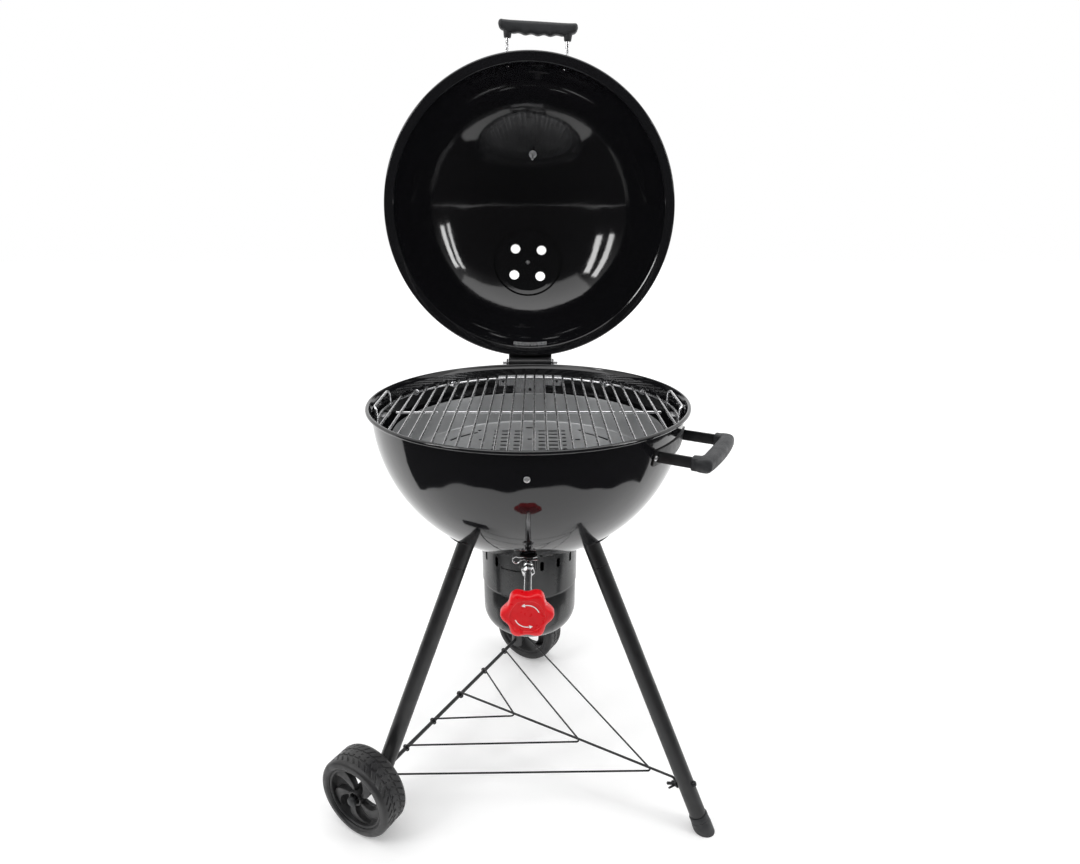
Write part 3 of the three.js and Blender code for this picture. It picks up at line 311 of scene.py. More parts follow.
def lathe(profile, segments=128, closed=False, shift=None):
    """Turned about Z. `shift` may move a radius: shift(angle, r, z)."""
    bm = bmesh.new()
    rows = []
    for r, z in profile:
        if r < 1e-6:
            rows.append([bm.verts.new((0, 0, z))] * segments)
            continue
        row = []
        for i in range(segments):
            a = 2 * math.pi * i / segments
            rr = shift(a, r, z) if shift else r
            row.append(bm.verts.new((rr * math.cos(a), rr * math.sin(a), z)))
        rows.append(row)
    pairs = list(zip(rows, rows[1:])) + ([(rows[-1], rows[0])] if closed else [])
    for a, b in pairs:
        for i in range(segments):
            j = (i + 1) % segments
            corners = []
            for v in (a[i], a[j], b[j], b[i]):
                if v not in corners:
                    corners.append(v)
            if len(corners) > 2:
                bm.faces.new(corners)
    return bm


def moved(bm, matrix):
    bmesh.ops.transform(bm, matrix=matrix, verts=bm.verts)
    return bm


def shifted(bm, offset):
    bmesh.ops.translate(bm, vec=offset, verts=bm.verts)
    return bm


def prism(outline, depth, plane="xy"):
    bm = bmesh.new()
    ends = []
    for z in (0.0, depth):
        spots = {"xy": lambda p: (p[0], p[1], z), "yz": lambda p: (z, p[0], p[1]),
                 "xz": lambda p: (p[0], -z, p[1])}[plane]
        ends.append([bm.verts.new(spots(p)) for p in outline])
    bm.faces.new(ends[0])
    bm.faces.new(list(reversed(ends[1])))
    for i in range(len(outline)):
        j = (i + 1) % len(outline)
        bm.faces.new((ends[0][i], ends[1][i], ends[1][j], ends[0][j]))
    return bm


def block(size, centre):
    bm = bmesh.new()
    bmesh.ops.create_cube(bm, size=1.0, matrix=Matrix.Translation(centre) @ Matrix.Diagonal((*size, 1)))
    return bm


def loft(rings, closed_path=False):
    """Skin over rings of points, with the two ends closed."""
    bm = bmesh.new()
    rows = [[bm.verts.new(p) for p in ring] for ring in rings]
    count = len(rows[0])
    pairs = list(zip(rows, rows[1:])) + ([(rows[-1], rows[0])] if closed_path else [])
    for a, b in pairs:
        for i in range(count):
            j = (i + 1) % count
            bm.faces.new((a[i], a[j], b[j], b[i]))
    if not closed_path:
        bm.faces.new(rows[0])
        bm.faces.new(list(reversed(rows[-1])))
    return bm


def rounded(points, bend, steps=6):
    """The polyline with its corners turned into bends."""
    points = [Vector(p) for p in points]
    out = [points[0]]
    for before, corner, after in zip(points, points[1:], points[2:]):
        reach = min(bend, (corner - before).length * 0.48, (after - corner).length * 0.48)
        start = corner + (before - corner).normalized() * reach
        end = corner + (after - corner).normalized() * reach
        for i in range(steps + 1):
            t = i / steps
            out.append(start * (1 - t) ** 2 + corner * 2 * t * (1 - t) + end * t ** 2)
    out.append(points[-1])
    return out


def tube(points, radius, sides=12, closed=False):
    """Round wire along the points, with eased ends, or closed into a loop."""
    points = [Vector(p) for p in points]
    count = len(points)
    tangents = []
    for i in range(count):
        if closed:
            t = points[(i + 1) % count] - points[i - 1]
        else:
            t = points[min(i + 1, count - 1)] - points[max(i - 1, 0)]
        tangents.append(t.normalized())
    first = tangents[0].orthogonal().normalized()
    side, across = first, []
    for i, t in enumerate(tangents):
        if i:
            side = tangents[i - 1].rotation_difference(t) @ side
        side = (side - t * side.dot(t)).normalized()
        across.append(side)
    if closed:
        # Spread the leftover twist over the loop so that it closes on itself.
        t = tangents[0]
        back = tangents[-1].rotation_difference(t) @ side
        twist = math.atan2(back.cross(first).dot(t), back.dot(first))
        across = [Quaternion(t, twist * i / count) @ side
                  for i, (t, side) in enumerate(zip(tangents, across))]

    def ring(i, ahead, size):
        t, side = tangents[i], across[i]
        return circle(points[i] + t * radius * ahead, side, t.cross(side), radius * size, sides)

    if closed:
        return loft([ring(i, 0, 1) for i in range(count)], True)
    inner = [ring(i, 0, 1) for i in range(1, count - 1)]
    starts = [ring(0, 0, TIP_SIZE), ring(0, TIP_REACH, 1)]
    ends = [ring(-1, -TIP_REACH, 1), ring(-1, 0, TIP_SIZE)]
    return loft([*starts, *inner, *ends])


def circle(centre, side, up, radius, sides):
    turns = [2 * math.pi * k / sides for k in range(sides)]
    return [centre + (side * math.cos(a) + up * math.sin(a)) * radius for a in turns]


def rod(a, b, radius, sides=24):
    return tube([a, b], radius, sides)


def spin(azimuth):
    return Matrix.Rotation(math.radians(azimuth), 4, "Z")


def look_along(origin, direction):
    """Matrix whose +Z points along a direction."""
    turn = Vector((0, 0, 1)).rotation_difference(Vector(direction).normalized())
    return Matrix.Translation(origin) @ turn.to_matrix().to_4x4()


def head(radius, height):
    """Round screw head with a cross recess, its seat at z = 0."""
    bm = lathe([(0, 0), (radius, 0), (radius, height * 0.25), *[
        (radius * math.cos(math.radians(a)), height * (0.25 + 0.75 * math.sin(math.radians(a))))
        for a in (15, 30, 45, 60, 75)], (0, height)], 32)
    made = object_from("head", bm)
    for turn in (0, 90):
        arm = block((radius * 1.05, radius * 0.26, height), (0, 0, height))
        cut(made, object_from("arm", arm, spin(turn)))
    return made


def drill(made, radius, a, b, matrix=None, sides=24):
    return cut(made, object_from("hole", rod(a, b, radius, sides), matrix))


def drill_z(made, radius, matrix, sides=24):
    """Round hole along the local Z of a frame."""
    return drill(made, radius, (0, 0, -PUNCH), (0, 0, PUNCH), matrix, sides)


def place(made, matrix):
    """Moves a finished mesh that was drawn at the axis by a matrix given in mm."""
    made.data.transform(WORLD @ matrix @ WORLD.inverted())
    return made


def merge(name, *objects):
    bm = bmesh.new()
    for each in objects:
        bm.from_mesh(each.data)
        bpy.data.objects.remove(each)
    mesh = bpy.data.meshes.new(name)
    bm.to_mesh(mesh)
    bm.free()
    return linked(name, mesh)


def bowl_radius(z, grow=0.0):
    return (BOWL_R + grow) * math.sqrt(max(0.0, 1 - ((BOWL_Z - z) / (BOWL_DEPTH + grow)) ** 2))


def everything(bm):
    return list(bm.verts) + list(bm.edges) + list(bm.faces)


def bowl_patch(name, outline, azimuth, near, far, step=6.0):
    """Sheet that follows the bowl: the outline is (distance round the wall, height)."""
    bm = bmesh.new()
    bm.faces.new([bm.verts.new((u, v, 0)) for u, v in outline])
    for axis in (0, 1):
        values = [p[axis] for p in outline]
        normal = Vector((1, 0, 0)) if axis == 0 else Vector((0, 1, 0))
        at = min(values) + step
        while at < max(values):
            bmesh.ops.bisect_plane(bm, geom=everything(bm), plane_co=normal * at, plane_no=normal)
            at += step
    side = bmesh.ops.duplicate(bm, geom=everything(bm))
    copies = {e for e in side["geom"] if isinstance(e, bmesh.types.BMVert)}
    border = [e for e in bm.edges if len(e.link_faces) == 1 and e.verts[0] not in copies]
    twin = side["vert_map"]
    for edge in border:
        a, b = edge.verts
        bm.faces.new((a, b, twin[b], twin[a]))
    for vert in bm.verts:
        u, z = vert.co.x, vert.co.y
        grow = far if vert in copies else near
        r = bowl_radius(z, grow)
        a = math.radians(azimuth) + u / r
        vert.co = (r * math.cos(a), r * math.sin(a), z)
    return object_from(name, bm)


def box_outline(half, low_z, high_z, corner=5.0, steps=5):
    out = []
    for cx, cy, start in ((half - corner, low_z + corner, -90), (half - corner, high_z - corner, 0),
                          (corner - half, high_z - corner, 90), (corner - half, low_z + corner, 180)):
        out += arc(cx, cy, corner, start, start + 90, steps)
    return out


# ---- Bowl ----
def make_bowl():
    start = math.degrees(math.asin(BOWL_MOUTH / BOWL_R))
    steps = 64
    outer = ellipse(BOWL_R, BOWL_DEPTH, BOWL_Z, start - 90, 0, steps)
    inner = ellipse(BOWL_R - SHEET, BOWL_DEPTH - SHEET, BOWL_Z, 0, start - 90, steps)
    rolled = arc(281.5, 786.5, 3.5, -120, 170, 14)
    made = object_from("bowl_shell", lathe([*outer, (277.5, 782.6), *rolled, *inner], 192, closed=True))
    entry = bowl_radius(LIFT_Z)
    drill(made, 9, (0, -entry - 25, LIFT_Z), (0, -entry + 25, LIFT_Z))
    finish(made, "enamel", "base", "bowl")

    for side, azimuth in (("front", -90), ("left", 180), ("right", 0)):
        top = GRATE_Z - 3.5
        shelf = join_bm(block((1.6, 28, top - 735), (266.9, 0, (top + 735) / 2)),
                        block((18, 28, 1.8), (259, 0, top - 0.9)))
        made = soften(object_from(f"shelf_{side}", shelf, spin(azimuth)), 0.5, 2)
        finish(made, "steel", "base", f"grate_shelf_{side}")
        slope = math.atan2(bowl_radius(746) - bowl_radius(740), 6)
        seat = spin(azimuth) @ Matrix.Translation((bowl_radius(743, 0.4), 0, 743))
        seat = seat @ Matrix.Rotation(math.pi / 2 + slope, 4, "Y") @ Matrix.Rotation(0.5, 4, "Z")
        finish(place(head(5, 3), seat), "steel", "base", f"shelf_screw_{side}")
        bpy.context.view_layer.update()


def make_hinge():
    plate = bowl_patch("hinge_plate", box_outline(52, 738, 776, 6), 90, GAP, GAP + 2.2)
    ears = []
    for x in (49.0, -52.0):
        outline = [(266, 742), (272, 738), (292, 752), (321, 774.5),
                   *arc(HINGE_Y, HINGE_Z, 9, -50, 150, 14), (296, 780.3), (277, 780.3), (272, 772)]
        ear = object_from("ear", prism(outline, 3, "yz"), Matrix.Translation((x, 0, 0)))
        drill(ear, 4.3, (-80, HINGE_Y, HINGE_Z), (80, HINGE_Y, HINGE_Z))
        ears.append(soften(ear, 0.6, 2))
    web = object_from("web", block((98, 2.6, 22), (0, 284, 762)))
    finish(merge("hinge_bowl_bracket", plate, *ears, web), "powder", "base", "hinge_bowl_bracket")

    tee = [(-68.5, 768), (-68.5, 748), (-66.5, 746), (-32.5, 746), (-32.5, 732), (-26, 726), (26, 726),
           (32.5, 732), (32.5, 746), (66.5, 746), (68.5, 748), (68.5, 768)]
    made = bowl_patch("hinge_inner_plate_skin", tee, 90, -SHEET - GAP - 1.5, -SHEET - GAP, 4)
    drill(made, 3.6, (0, 240, 736), (0, 300, 736))
    for x in (-58, 58):
        notch = prism([(x - 4, 758), (x + 4, 758), (x, 751)], 60, "xz")
        cut(made, object_from("notch", notch, Matrix.Translation((0, 300, 0))))
    finish(made, "steel", "base", "hinge_inner_plate")
    pin = rod((-61.5, HINGE_Y, HINGE_Z), (61.5, HINGE_Y, HINGE_Z), 4)
    finish(object_from("hinge_pin_rod", pin), "chrome", "base", "hinge_pin")


# ---- Lid ----
PIVOT = Matrix.Translation((0, HINGE_Y, HINGE_Z))
OPEN = PIVOT @ Matrix.Rotation(-math.pi / 2, 4, "X") @ PIVOT.inverted()
LID = OPEN @ spin(LID_TURN)


def dome_frame(radius, side):
    """Frame on the dome, +Z outward; `side` is +1 towards the hinge, -1 towards the front."""
    rise = LID_H * math.sqrt(1 - (radius / LID_R) ** 2)
    tilt = math.atan2(radius / LID_R ** 2, rise / LID_H ** 2)
    return Matrix.Translation((0, side * radius, LID_Z + rise)) @ Matrix.Rotation(-side * tilt, 4, "X")


VENT = LID @ dome_frame(117, 1)
DIAL = LID @ dome_frame(128.5, -1)
PLATE_Z = -8.4


def vent_holes(made, radius, matrix):
    for angle in (45, 135, 225, 315):
        x, y = 44 * math.cos(math.radians(angle)), 44 * math.sin(math.radians(angle))
        drill(made, radius, (x, y, -PUNCH), (x, y, PUNCH), matrix, 48)
    return made


def make_lid():
    steps = 60
    outer = ellipse(LID_R, LID_H, LID_Z, 90, 0, steps)
    inner = ellipse(LID_R - SHEET, LID_H - SHEET, LID_Z, 0, 90, steps)
    outer[0] = (0, outer[0][1])
    inner[-1] = (0, inner[-1][1])
    flange = [(286.6, 793.4), (288.5, 793.0), (296, 793.0)]
    rolled = arc(301, LID_Z, 4, 190, -100, 16)
    profile = [*outer, *flange, *rolled, (297, 791.4), (286, 791.4), (284.2, 792.6), *inner]
    made = object_from("lid_shell", lathe(profile, 192), LID)
    drill_z(made, 78.2, VENT, 96)
    plate = [(0, PLATE_Z), *arc(76.2, PLATE_Z - 1.2, 1.2, 90, 0, 4),
             (77.4, PLATE_Z - 6.0), (79, PLATE_Z - 6.0),
             *arc(76.2, PLATE_Z - 1.2, 2.8, 0, 90, 6), (0, PLATE_Z + SHEET)]
    cut(made, object_from("plateau", lathe(plate, 96), VENT), operation="UNION")
    vent_holes(made, 11.5, VENT)
    drill_z(made, 3.3, VENT)
    drill_z(made, 5, DIAL)
    finish(made, "enamel", "lid_assembly", "lid")

    top = PLATE_Z + SHEET + GAP
    outline = [(0, top), (69.4, top), (70, top + 0.6), (69.4, top + 1.2), (0, top + 1.2)]
    disc = object_from("damper", lathe(outline, 96), VENT)
    vent_holes(disc, 12, VENT)
    drill_z(disc, 3.3, VENT)
    tab = join_bm(block((16, 1.6, 16), (0, 58, top + 8.6)), block((24, 12, 1.6), (0, 58, top + 1.6)))
    tab = object_from("tab", tab, VENT)
    finish(merge("vent_damper_disc", disc, soften(tab, 0.6)), "chrome", "lid_vent", "vent_damper")
    inside = [(r, PLATE_Z - drop) for r, drop in ((0, 2.5), (3.5, 2.4), (5, 1), (5, 0.3), (3, 0.3))]
    outside = [(r, top + rise) for r, rise in ((3, 1.5), (6.5, 1.5), (6.5, 2.5), (4, 4.5), (0, 4.5))]
    rivet = lathe([*inside, *outside], 32)
    finish(object_from("vent_rivet_head", rivet, VENT), "steel", "lid_assembly", "vent_rivet")
    make_thermometer()
    make_lid_handle()
    make_lid_hinge()


def make_thermometer():
    base = 1.9
    outline = ((0, 0), (18, 0), (29, 6.5), (30, 8), (30, 19), (29.2, 20), (27.8, 20), (27, 19),
               (27, 16), (0, 16))
    cup = lathe([(r, base + rise) for r, rise in outline], 64)
    probe = join_bm(rod((0, 0, base + 1), (0, 0, -14), 4.7), rod((0, 0, -13), (0, 0, -42), 2.5, 16),
                    rod((0, 0, base + 15), (0, 0, base + 16.8), 1.4, 12))
    finish(object_from("thermometer_cup", cup, DIAL), "chrome", "lid_assembly", "thermometer_case")
    finish(object_from("thermometer_stem", probe, DIAL), "zinc", "lid_assembly")
    face = lathe([(0, base + 16.02), (26.9, base + 16.02), (26.9, base + 16.2), (0, base + 16.2)], 64)
    made = object_from("thermometer_face", face, DIAL)
    drill(made, 1.6, (0, 0, 0), (0, 0, 40), DIAL)
    finish(made, "dial", "lid_assembly")
    marks = []
    for i in range(25):
        angle = math.radians(-120 + 10 * i)
        long = 4.0 if i % 4 == 0 else 2.2
        tick = block((0.5, long, 0.08), (0, 24.5 - long / 2, base + 16.26))
        marks.append(moved(tick, Matrix.Rotation(-angle, 4, "Z")))
    finish(object_from("thermometer_scale", join_bm(*marks), DIAL), "powder", "lid_assembly")
    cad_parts["thermometer_needle"].data.materials[0] = MATERIALS["red"]
    washer = lathe([(5, -5.6), (8.8, -5.6), (8.8, -4), (5, -4)], 48, True)
    nut = join_bm(rod((0, 0, -10.2), (0, 0, -5), 8, 6), washer)
    made = object_from("nut", nut, DIAL)
    drill(made, 5, (0, 0, -20), (0, 0, 0), DIAL)
    finish(soften(made, 0.4, 2), "zinc", "lid_assembly", "thermometer_nut")


def grip_rings(stations, section):
    """Rings of a moulded grip: section(t) gives (centre, half width, half height, wave)."""
    rings = []
    for t in stations:
        centre, across, tall, wave = section(t)
        rings.append([(t, centre + x + (wave * abs(cosine) ** 0.5 if cosine < 0 else 0.0), y)
                      for cosine, x, y in soft_oval(across, tall, 0.62)])
    return rings


def make_lid_handle():
    z, radius = 822, 349
    half = 79

    def section(t):
        u = abs(t) / half
        end = max(0.0, (abs(t) - 73) / 6)
        across = (12.5 - 4.5 * u ** 3) * math.sqrt(max(0.03, 1 - end ** 2 * 0.97))
        wave = 2.6 * (0.5 - 0.5 * math.cos(t / 50 * 4 * math.pi)) if abs(t) < 50 else 0.0
        centre = radius - 1.4 + 2.2 * u ** 3 + 3.5 * u ** 5
        return centre, across, 11.5 * math.sqrt(max(0.05, 1 - end ** 2 * 0.9)), wave

    stations = [-half + half * 2 * i / 120 for i in range(121)]
    rings = [[(p[0], -p[1], p[2] + z) for p in ring] for ring in grip_rings(stations, section)]
    sockets = []
    for x in (-60, 60):
        neck = [(6.6, 0), (7.2, 1), (8.4, 10), (9.4, 16), (0, 16)]
        frame_here = look_along((x, -radius + 20, z), (0, -1, 0))
        sockets.append(moved(lathe([(0, 0), *neck], 32), frame_here))
    made = object_from("lid_grip", join_bm(loft(rings), *sockets), LID)
    finish(made, "plastic", "lid_assembly", "lid_handle_grip")
    for side, x in (("left", -60), ("right", 60)):
        post = rod((x, -283, z), (x, -radius + 6, z), 3.5, 24)
        collar = moved(lathe([(0, 0), (8, 0), (8, 2.5), (6.5, 4), (0, 4)], 32),
                       look_along((x, -276.2, z), (0, -1, 0)))
        finish(object_from(f"lid_post_{side}", join_bm(post, collar), LID), "chrome", "lid_assembly",
               f"lid_handle_post_{side}")


def make_lid_hinge():
    outline = [(4.3, -48), (8.4, -48), (9, -47.4), (9, 47.4), (8.4, 48), (4.3, 48)]
    knuckle = moved(lathe(outline, 48, True), PIVOT @ Matrix.Rotation(math.pi / 2, 4, "Y"))
    leaf = [(309.3, 784), (309.3, 805.5), (285.2, 822), (278.2, 851),
            (281.2, 851.6), (288, 824), (312.3, 808), (312.3, 784)]
    strap = shifted(prism(leaf, 96, "yz"), (-48, 0, 0))
    strap = soften(object_from("strap", strap, OPEN), 0.8)
    made = merge("hinge_lid_leaf", object_from("knuckle", knuckle, OPEN), strap)
    finish(made, "powder", "lid_assembly", "hinge_lid_bracket")

    bm = bmesh.new()
    columns, rows = 16, 5
    grid = [[], []]
    for layer, drop in enumerate((SHEET + GAP + 0.2, SHEET + GAP + 1.7)):
        for i in range(columns + 1):
            line = []
            for k in range(rows + 1):
                z = 803 + 20 * k / rows
                r = (LID_R - drop) * math.sqrt(1 - ((z - LID_Z) / (LID_H - drop)) ** 2)
                a = math.pi / 2 + (i / columns - 0.5) * 75 / r
                line.append(bm.verts.new((r * math.cos(a), r * math.sin(a), z)))
            grid[layer].append(line)
    for i in range(columns):
        for k in range(rows):
            for g in grid:
                bm.faces.new((g[i][k], g[i + 1][k], g[i + 1][k + 1], g[i][k + 1]))
    for i in range(columns):
        for k in (0, rows):
            bm.faces.new((grid[0][i][k], grid[0][i + 1][k], grid[1][i + 1][k], grid[1][i][k]))
    for k in range(rows):
        for i in (0, columns):
            bm.faces.new((grid[0][i][k], grid[0][i][k + 1], grid[1][i][k + 1], grid[1][i][k]))
    for x in (-30, -20, 20, 30):
        y = 281.0 - x * x / 560
        rivet = lathe([(0, 0), (3.4, 0), (3.2, 0.9), (2.2, 1.7), (0, 2)], 20)
        bm = join_bm(bm, moved(rivet, look_along((x, y - 1.4, 813), (0, -1, 0))))
    finish(object_from("hinge_lid_plate", bm, OPEN), "steel", "lid_assembly", "hinge_lid_inner_plate")


# ---- Cooking grate ----
def ring_x(y):
    return math.sqrt(GRATE_R ** 2 - y ** 2)


def grate_bar(x):
    half = ring_x(abs(x)) + 1.8
    return tube([(x, -half, GRATE_Z + 4.5), (x, half, GRATE_Z + 4.5)], 2.4, 12)


def coil(x, y, radius, wire, turns, length):
    steps = int(turns * 14)
    points = []
    for i in range(steps + 1):
        a = 2 * math.pi * i / 14
        along = y - length / 2 + length * i / steps
        points.append((x + radius * math.cos(a), along, GRATE_Z + radius * math.sin(a)))
    return tube(points, wire, 8)


def make_grate():
    places = [(i + 0.5) * GRATE_PITCH for i in range(13)]
    parts = []
    for side in (-1, 1):
        line = [(-150 + 300 * i / 48, 0, GRATE_Z) for i in range(49)]
        parts.append(tube([(x, side * ring_x(x), z) for x, _, z in line], 2.9, 12))
        for hand in (-1, 1):
            parts.append(coil(hand * FLAP_X, side * 208, 4.9, 1.5, 1.4, 3.6))
            start = (hand * 147, side * (ring_x(150) + 0.6), GRATE_Z)
            hook = [start, (hand * 152.5, side * 214, GRATE_Z), (hand * 153.6, side * 207, GRATE_Z)]
            parts.append(tube(rounded(hook, 4), 2.0, 10))
    for x in places[:8]:
        parts += [grate_bar(x), grate_bar(-x)]
    parts.append(tube([(-155, 0, GRATE_Z), (155, 0, GRATE_Z)], 2.4, 12))
    finish(object_from("grate_middle", join_bm(*parts)), "wire", "grate", "grate_centre")

    start = 172.0
    sweep = math.degrees(math.acos(start / GRATE_R))
    edge = ring_x(start)
    for name, turn in (("right", 0), ("left", 180)):
        parts = [tube([(x, y, GRATE_Z) for x, y in arc(0, 0, GRATE_R, -sweep, sweep, 48)], 2.9, 12)]
        parts += [grate_bar(x) for x in places[8:]]
        parts.append(tube([(162.5, 0, GRATE_Z), (238.8, 0, GRATE_Z)], 2.4, 12))
        loop = [(259.6, -56, 759.2), (260.6, -56, 786), (264, -50, 789)]
        loop += [(x, -y, z) for x, y, z in reversed(loop)]
        parts.append(tube(rounded(loop, 9), 2.4, 12))
        for side in (-1, 1):
            route = [(x, side * y, GRATE_Z)
                     for x, y in ((FLAP_X, 214), (FLAP_X, 196.5), (start + 1.5, edge - 0.6))]
            parts.append(tube(rounded(route, 5), 2.2, 10))
            parts.append(coil(225.5, side * 141, 4.6, 1.2, 2.6, 8.0))
        flap = object_from(f"grate_side_{name}", join_bm(*parts), spin(turn))
        finish(flap, "wire", f"flap_{name}", f"grate_flap_{name}")


# ---- Charcoal pan and lift ----
def make_pan():
    floor, top, foot, rim, thick = 674, 735, 236, 241.5, 1.5
    lip = ((0, 4.5), (0.8, 3), (3, 2.2), (3, 0.6), (1.5, 0), (-0.3, 0.8), (-1.6, 4.5))
    profile = [(0, floor - thick), *arc(foot - 5.5, floor + 4, 5.5, -90, -8, 6),
               *[(rim + out, top - drop) for out, drop in lip],
               *arc(foot - 5.5, floor + 4, 4.0, -8, -90, 6), (0, floor)]
    made = object_from("coal_pan", lathe(profile, 160))
    slots = []
    pitch, slot = 22.2, 8.0
    for side in (-1, 1):
        for row in range(8):
            y = side * (row + 0.5) * pitch
            for x, length in ((24.5, 13), (47.5, 19), (69, 8)):
                slots += [(x, y, length, slot), (-x, y, length, slot)]
        slots.append((0, side * 8.5 * pitch, 16, slot))
        slots += [(0, side * 114, slot, slot), (96, side * 111, 10, slot), (-96, side * 111, 10, slot)]
    tools = [block((w, h, 10), (x, y, floor)) for x, y, w, h in slots]
    for side in (-1, 1):
        for hand in (-1, 1):
            middle = side * (90 - hand * 45)
            first, last = middle - 11, middle + 11
            band = [*arc(0, 0, 187, first, last, 12), *arc(0, 0, 194, last, first, 12)]
            tools.append(shifted(prism(band, 10), (0, 0, floor - 5)))
            x, y = hand * 104, side * 170
            corner = prism([(x - 6, y + 5), (x + 6, y + 5), (x, y - 6)], 10)
            tools.append(shifted(corner, (0, 0, floor - 5)))
    cut(made, object_from("slots", join_bm(*tools)))
    finish(made, "pan", "pan", "charcoal_pan")
    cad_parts["lift_rack"].data.materials[0] = MATERIALS["steel"]
    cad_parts["lift_bridge"].data.materials[0] = MATERIALS["steel"]
    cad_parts["lift_pinion"].data.materials[0] = MATERIALS["steel"]


def make_knob():
    back, depth = -314.0, 21.0
    front = back - depth
    rows = [(0.0, 6.0), (0.6, 3.0), (2.2, 0.9), (4.5, 0.0), (14.0, 0.0), (17.5, 0.8), (19.6, 2.6),
            (20.6, 5.0), (21.0, 7.6), (20.7, 9.5), (19.4, 10.6), (19.2, 12.0)]
    segments = 192
    bm = bmesh.new()
    rings = []
    for y, inset in rows:
        ring = []
        for i in range(segments):
            a = 2 * math.pi * i / segments
            lobe = 3.5 * math.cos(6 * a) * max(0.0, 1 - inset / 12)
            r = 35.5 + lobe - inset
            ring.append(bm.verts.new((r * math.cos(a), back - y, LIFT_Z + r * math.sin(a))))
        rings.append(ring)
    for a, b in zip(rings, rings[1:]):
        for i in range(segments):
            j = (i + 1) % segments
            bm.faces.new((a[i], a[j], b[j], b[i]))
    bm.faces.new(rings[0])
    bm.faces.new(list(reversed(rings[-1])))
    finish(object_from("knob_grip", bm), "red", "height_knob", "knob")

    face = front + 1.75
    prints = []
    for start, end in ((20, 100), (200, 280)):
        band = [*arc(0, 0, 18.6, start, end, 24), *arc(0, 0, 17.2, end, start, 24)]
        prints.append(band)
        tip = math.radians(end)
        u, v = (math.cos(tip), math.sin(tip)), (-math.sin(tip), math.cos(tip))
        prints.append([tuple(17.9 * u[i] + out * u[i] + ahead * v[i] for i in (0, 1))
                       for out, ahead in ((3, 0), (0, 5), (-3, 0))])
    parts = [prism(outline, 0.16, "xz") for outline in prints]
    made = object_from("knob_arrows", join_bm(*parts), Matrix.Translation((0, face, LIFT_Z)))
    finish(made, "white", "height_knob")
    shaft = object_from("shaft_rod", rod((0, -326, LIFT_Z), (0, -14, LIFT_Z), 6, 32))
    finish(shaft, "chrome", "height_knob", "lift_shaft")

    hexagon = tube([(0, -211, LIFT_Z), (0, -196, LIFT_Z)], 11.5, 6)
    barrel = rod((0, -197, LIFT_Z), (0, -174.3, LIFT_Z), 8.6, 48)
    made = soften(object_from("hexagon", hexagon), 1.0, 3)
    made = merge("bushing", made, object_from("barrel", barrel))
    finish(made, "chrome", "base", "shaft_bushing")
    seat = block((24, 30, 24), (0, -165, LIFT_Z))
    made = soften(object_from("seat", seat), 2.5, 4)
    flange = soften(object_from("flange", block((30, 4, 27), (0, -172, LIFT_Z))), 1.2, 3)
    finish(merge("bushing_block", made, flange), "powder", "base", "bushing_seat")
    eye = [(-19.5 + 6 * x, -181, LIFT_Z + 7.5 + 6 * y) for x, y in arc(0, 0, 1, -30, -310, 24)]
    wave = [(x, -181, LIFT_Z + rise) for x, rise in ((-9, 12.5), (0, 10.6), (8, 11.4), (15, 13.4))]
    route = [(15, -181, LIFT_Z + 7.5), (-12, -181, LIFT_Z + 7.5), *eye, *wave]
    finish(object_from("spring_clip", tube(route, 1.1, 10)), "chrome", "base", "r_clip")


# ---- Ash catcher ----
SLOT_AZ = [-82, -61, -41, 15, 36, 57, 100, 140, 180, 220]


def obround(width, height, z, near, far):
    half = (height - width) / 2
    outline = [*arc(0, z + half, width / 2, 0, 180, 10), *arc(0, z - half, width / 2, 180, 360, 10)]
    return shifted(prism(outline, far - near, "xz"), (0, -near, 0))


def make_ash_catcher():
    r, thick = 90.5, 1.2
    wall = [(r - thick, 437), (r, 437), (r, 521), *arc(r - 3, 520.5, 3, 10, 100, 6),
            (72, 517.2), (72, 515.8), (r - thick - 1, 519.5), (r - thick, 517)]
    made = object_from("collar", lathe(wall, 128, True))
    tools = [object_from("slot", obround(7, 19, 500, 80, 100), spin(a)) for a in SLOT_AZ]
    sector = [(0, 0), *arc(0, 0, 120, -124, -83, 12)]
    long_slot = object_from("long", prism(sector, 5.4), Matrix.Translation((0, 0, 489.3)))
    cut(long_slot, object_from("core", rod((0, 0, 470), (0, 0, 520), 80, 64)))
    cut(made, *tools, long_slot)
    finish(made, "ash", "base", "ash_collar")

    outer = r - thick - 0.5
    section = [(outer - 1.2, 476), (outer, 476), (outer, 513), (outer - 1.2, 513)]
    band = object_from("band", lathe(section, 128, True))
    cut(band, *[object_from("slot", obround(9, 21, 500, 80, 100), spin(a)) for a in SLOT_AZ])
    tab = join_bm(block((15, 5, 2.2), (outer + 6.5, 0, 492)), block((3, 8, 7), (outer + 14.5, 0, 492)))
    tab = soften(object_from("tab", tab, spin(-86.5)), 0.7)
    finish(merge("air_ring", band, tab), "ash", "ash_air_ring", "ash_damper")

    b, high, low_z, corner = 88.7, 472, 332, 46
    wall = ((0, 428), (0.9, 430), (0.9, 434), (0, 436), (0, high),
            (1.2, high), (1.2, 436), (2.1, 434), (2.1, 430), (1.2, 428))
    profile = [(0, low_z), *arc(b - corner, low_z + corner, corner, -90, 0, 20),
               *[(b - inset, z) for inset, z in wall],
               *arc(b - corner, low_z + corner, corner - 1.2, 0, -90, 20), (0, low_z + 1.2)]
    finish(object_from("bucket_shell", lathe(profile, 128)), "ash", "bucket", "ash_bucket")


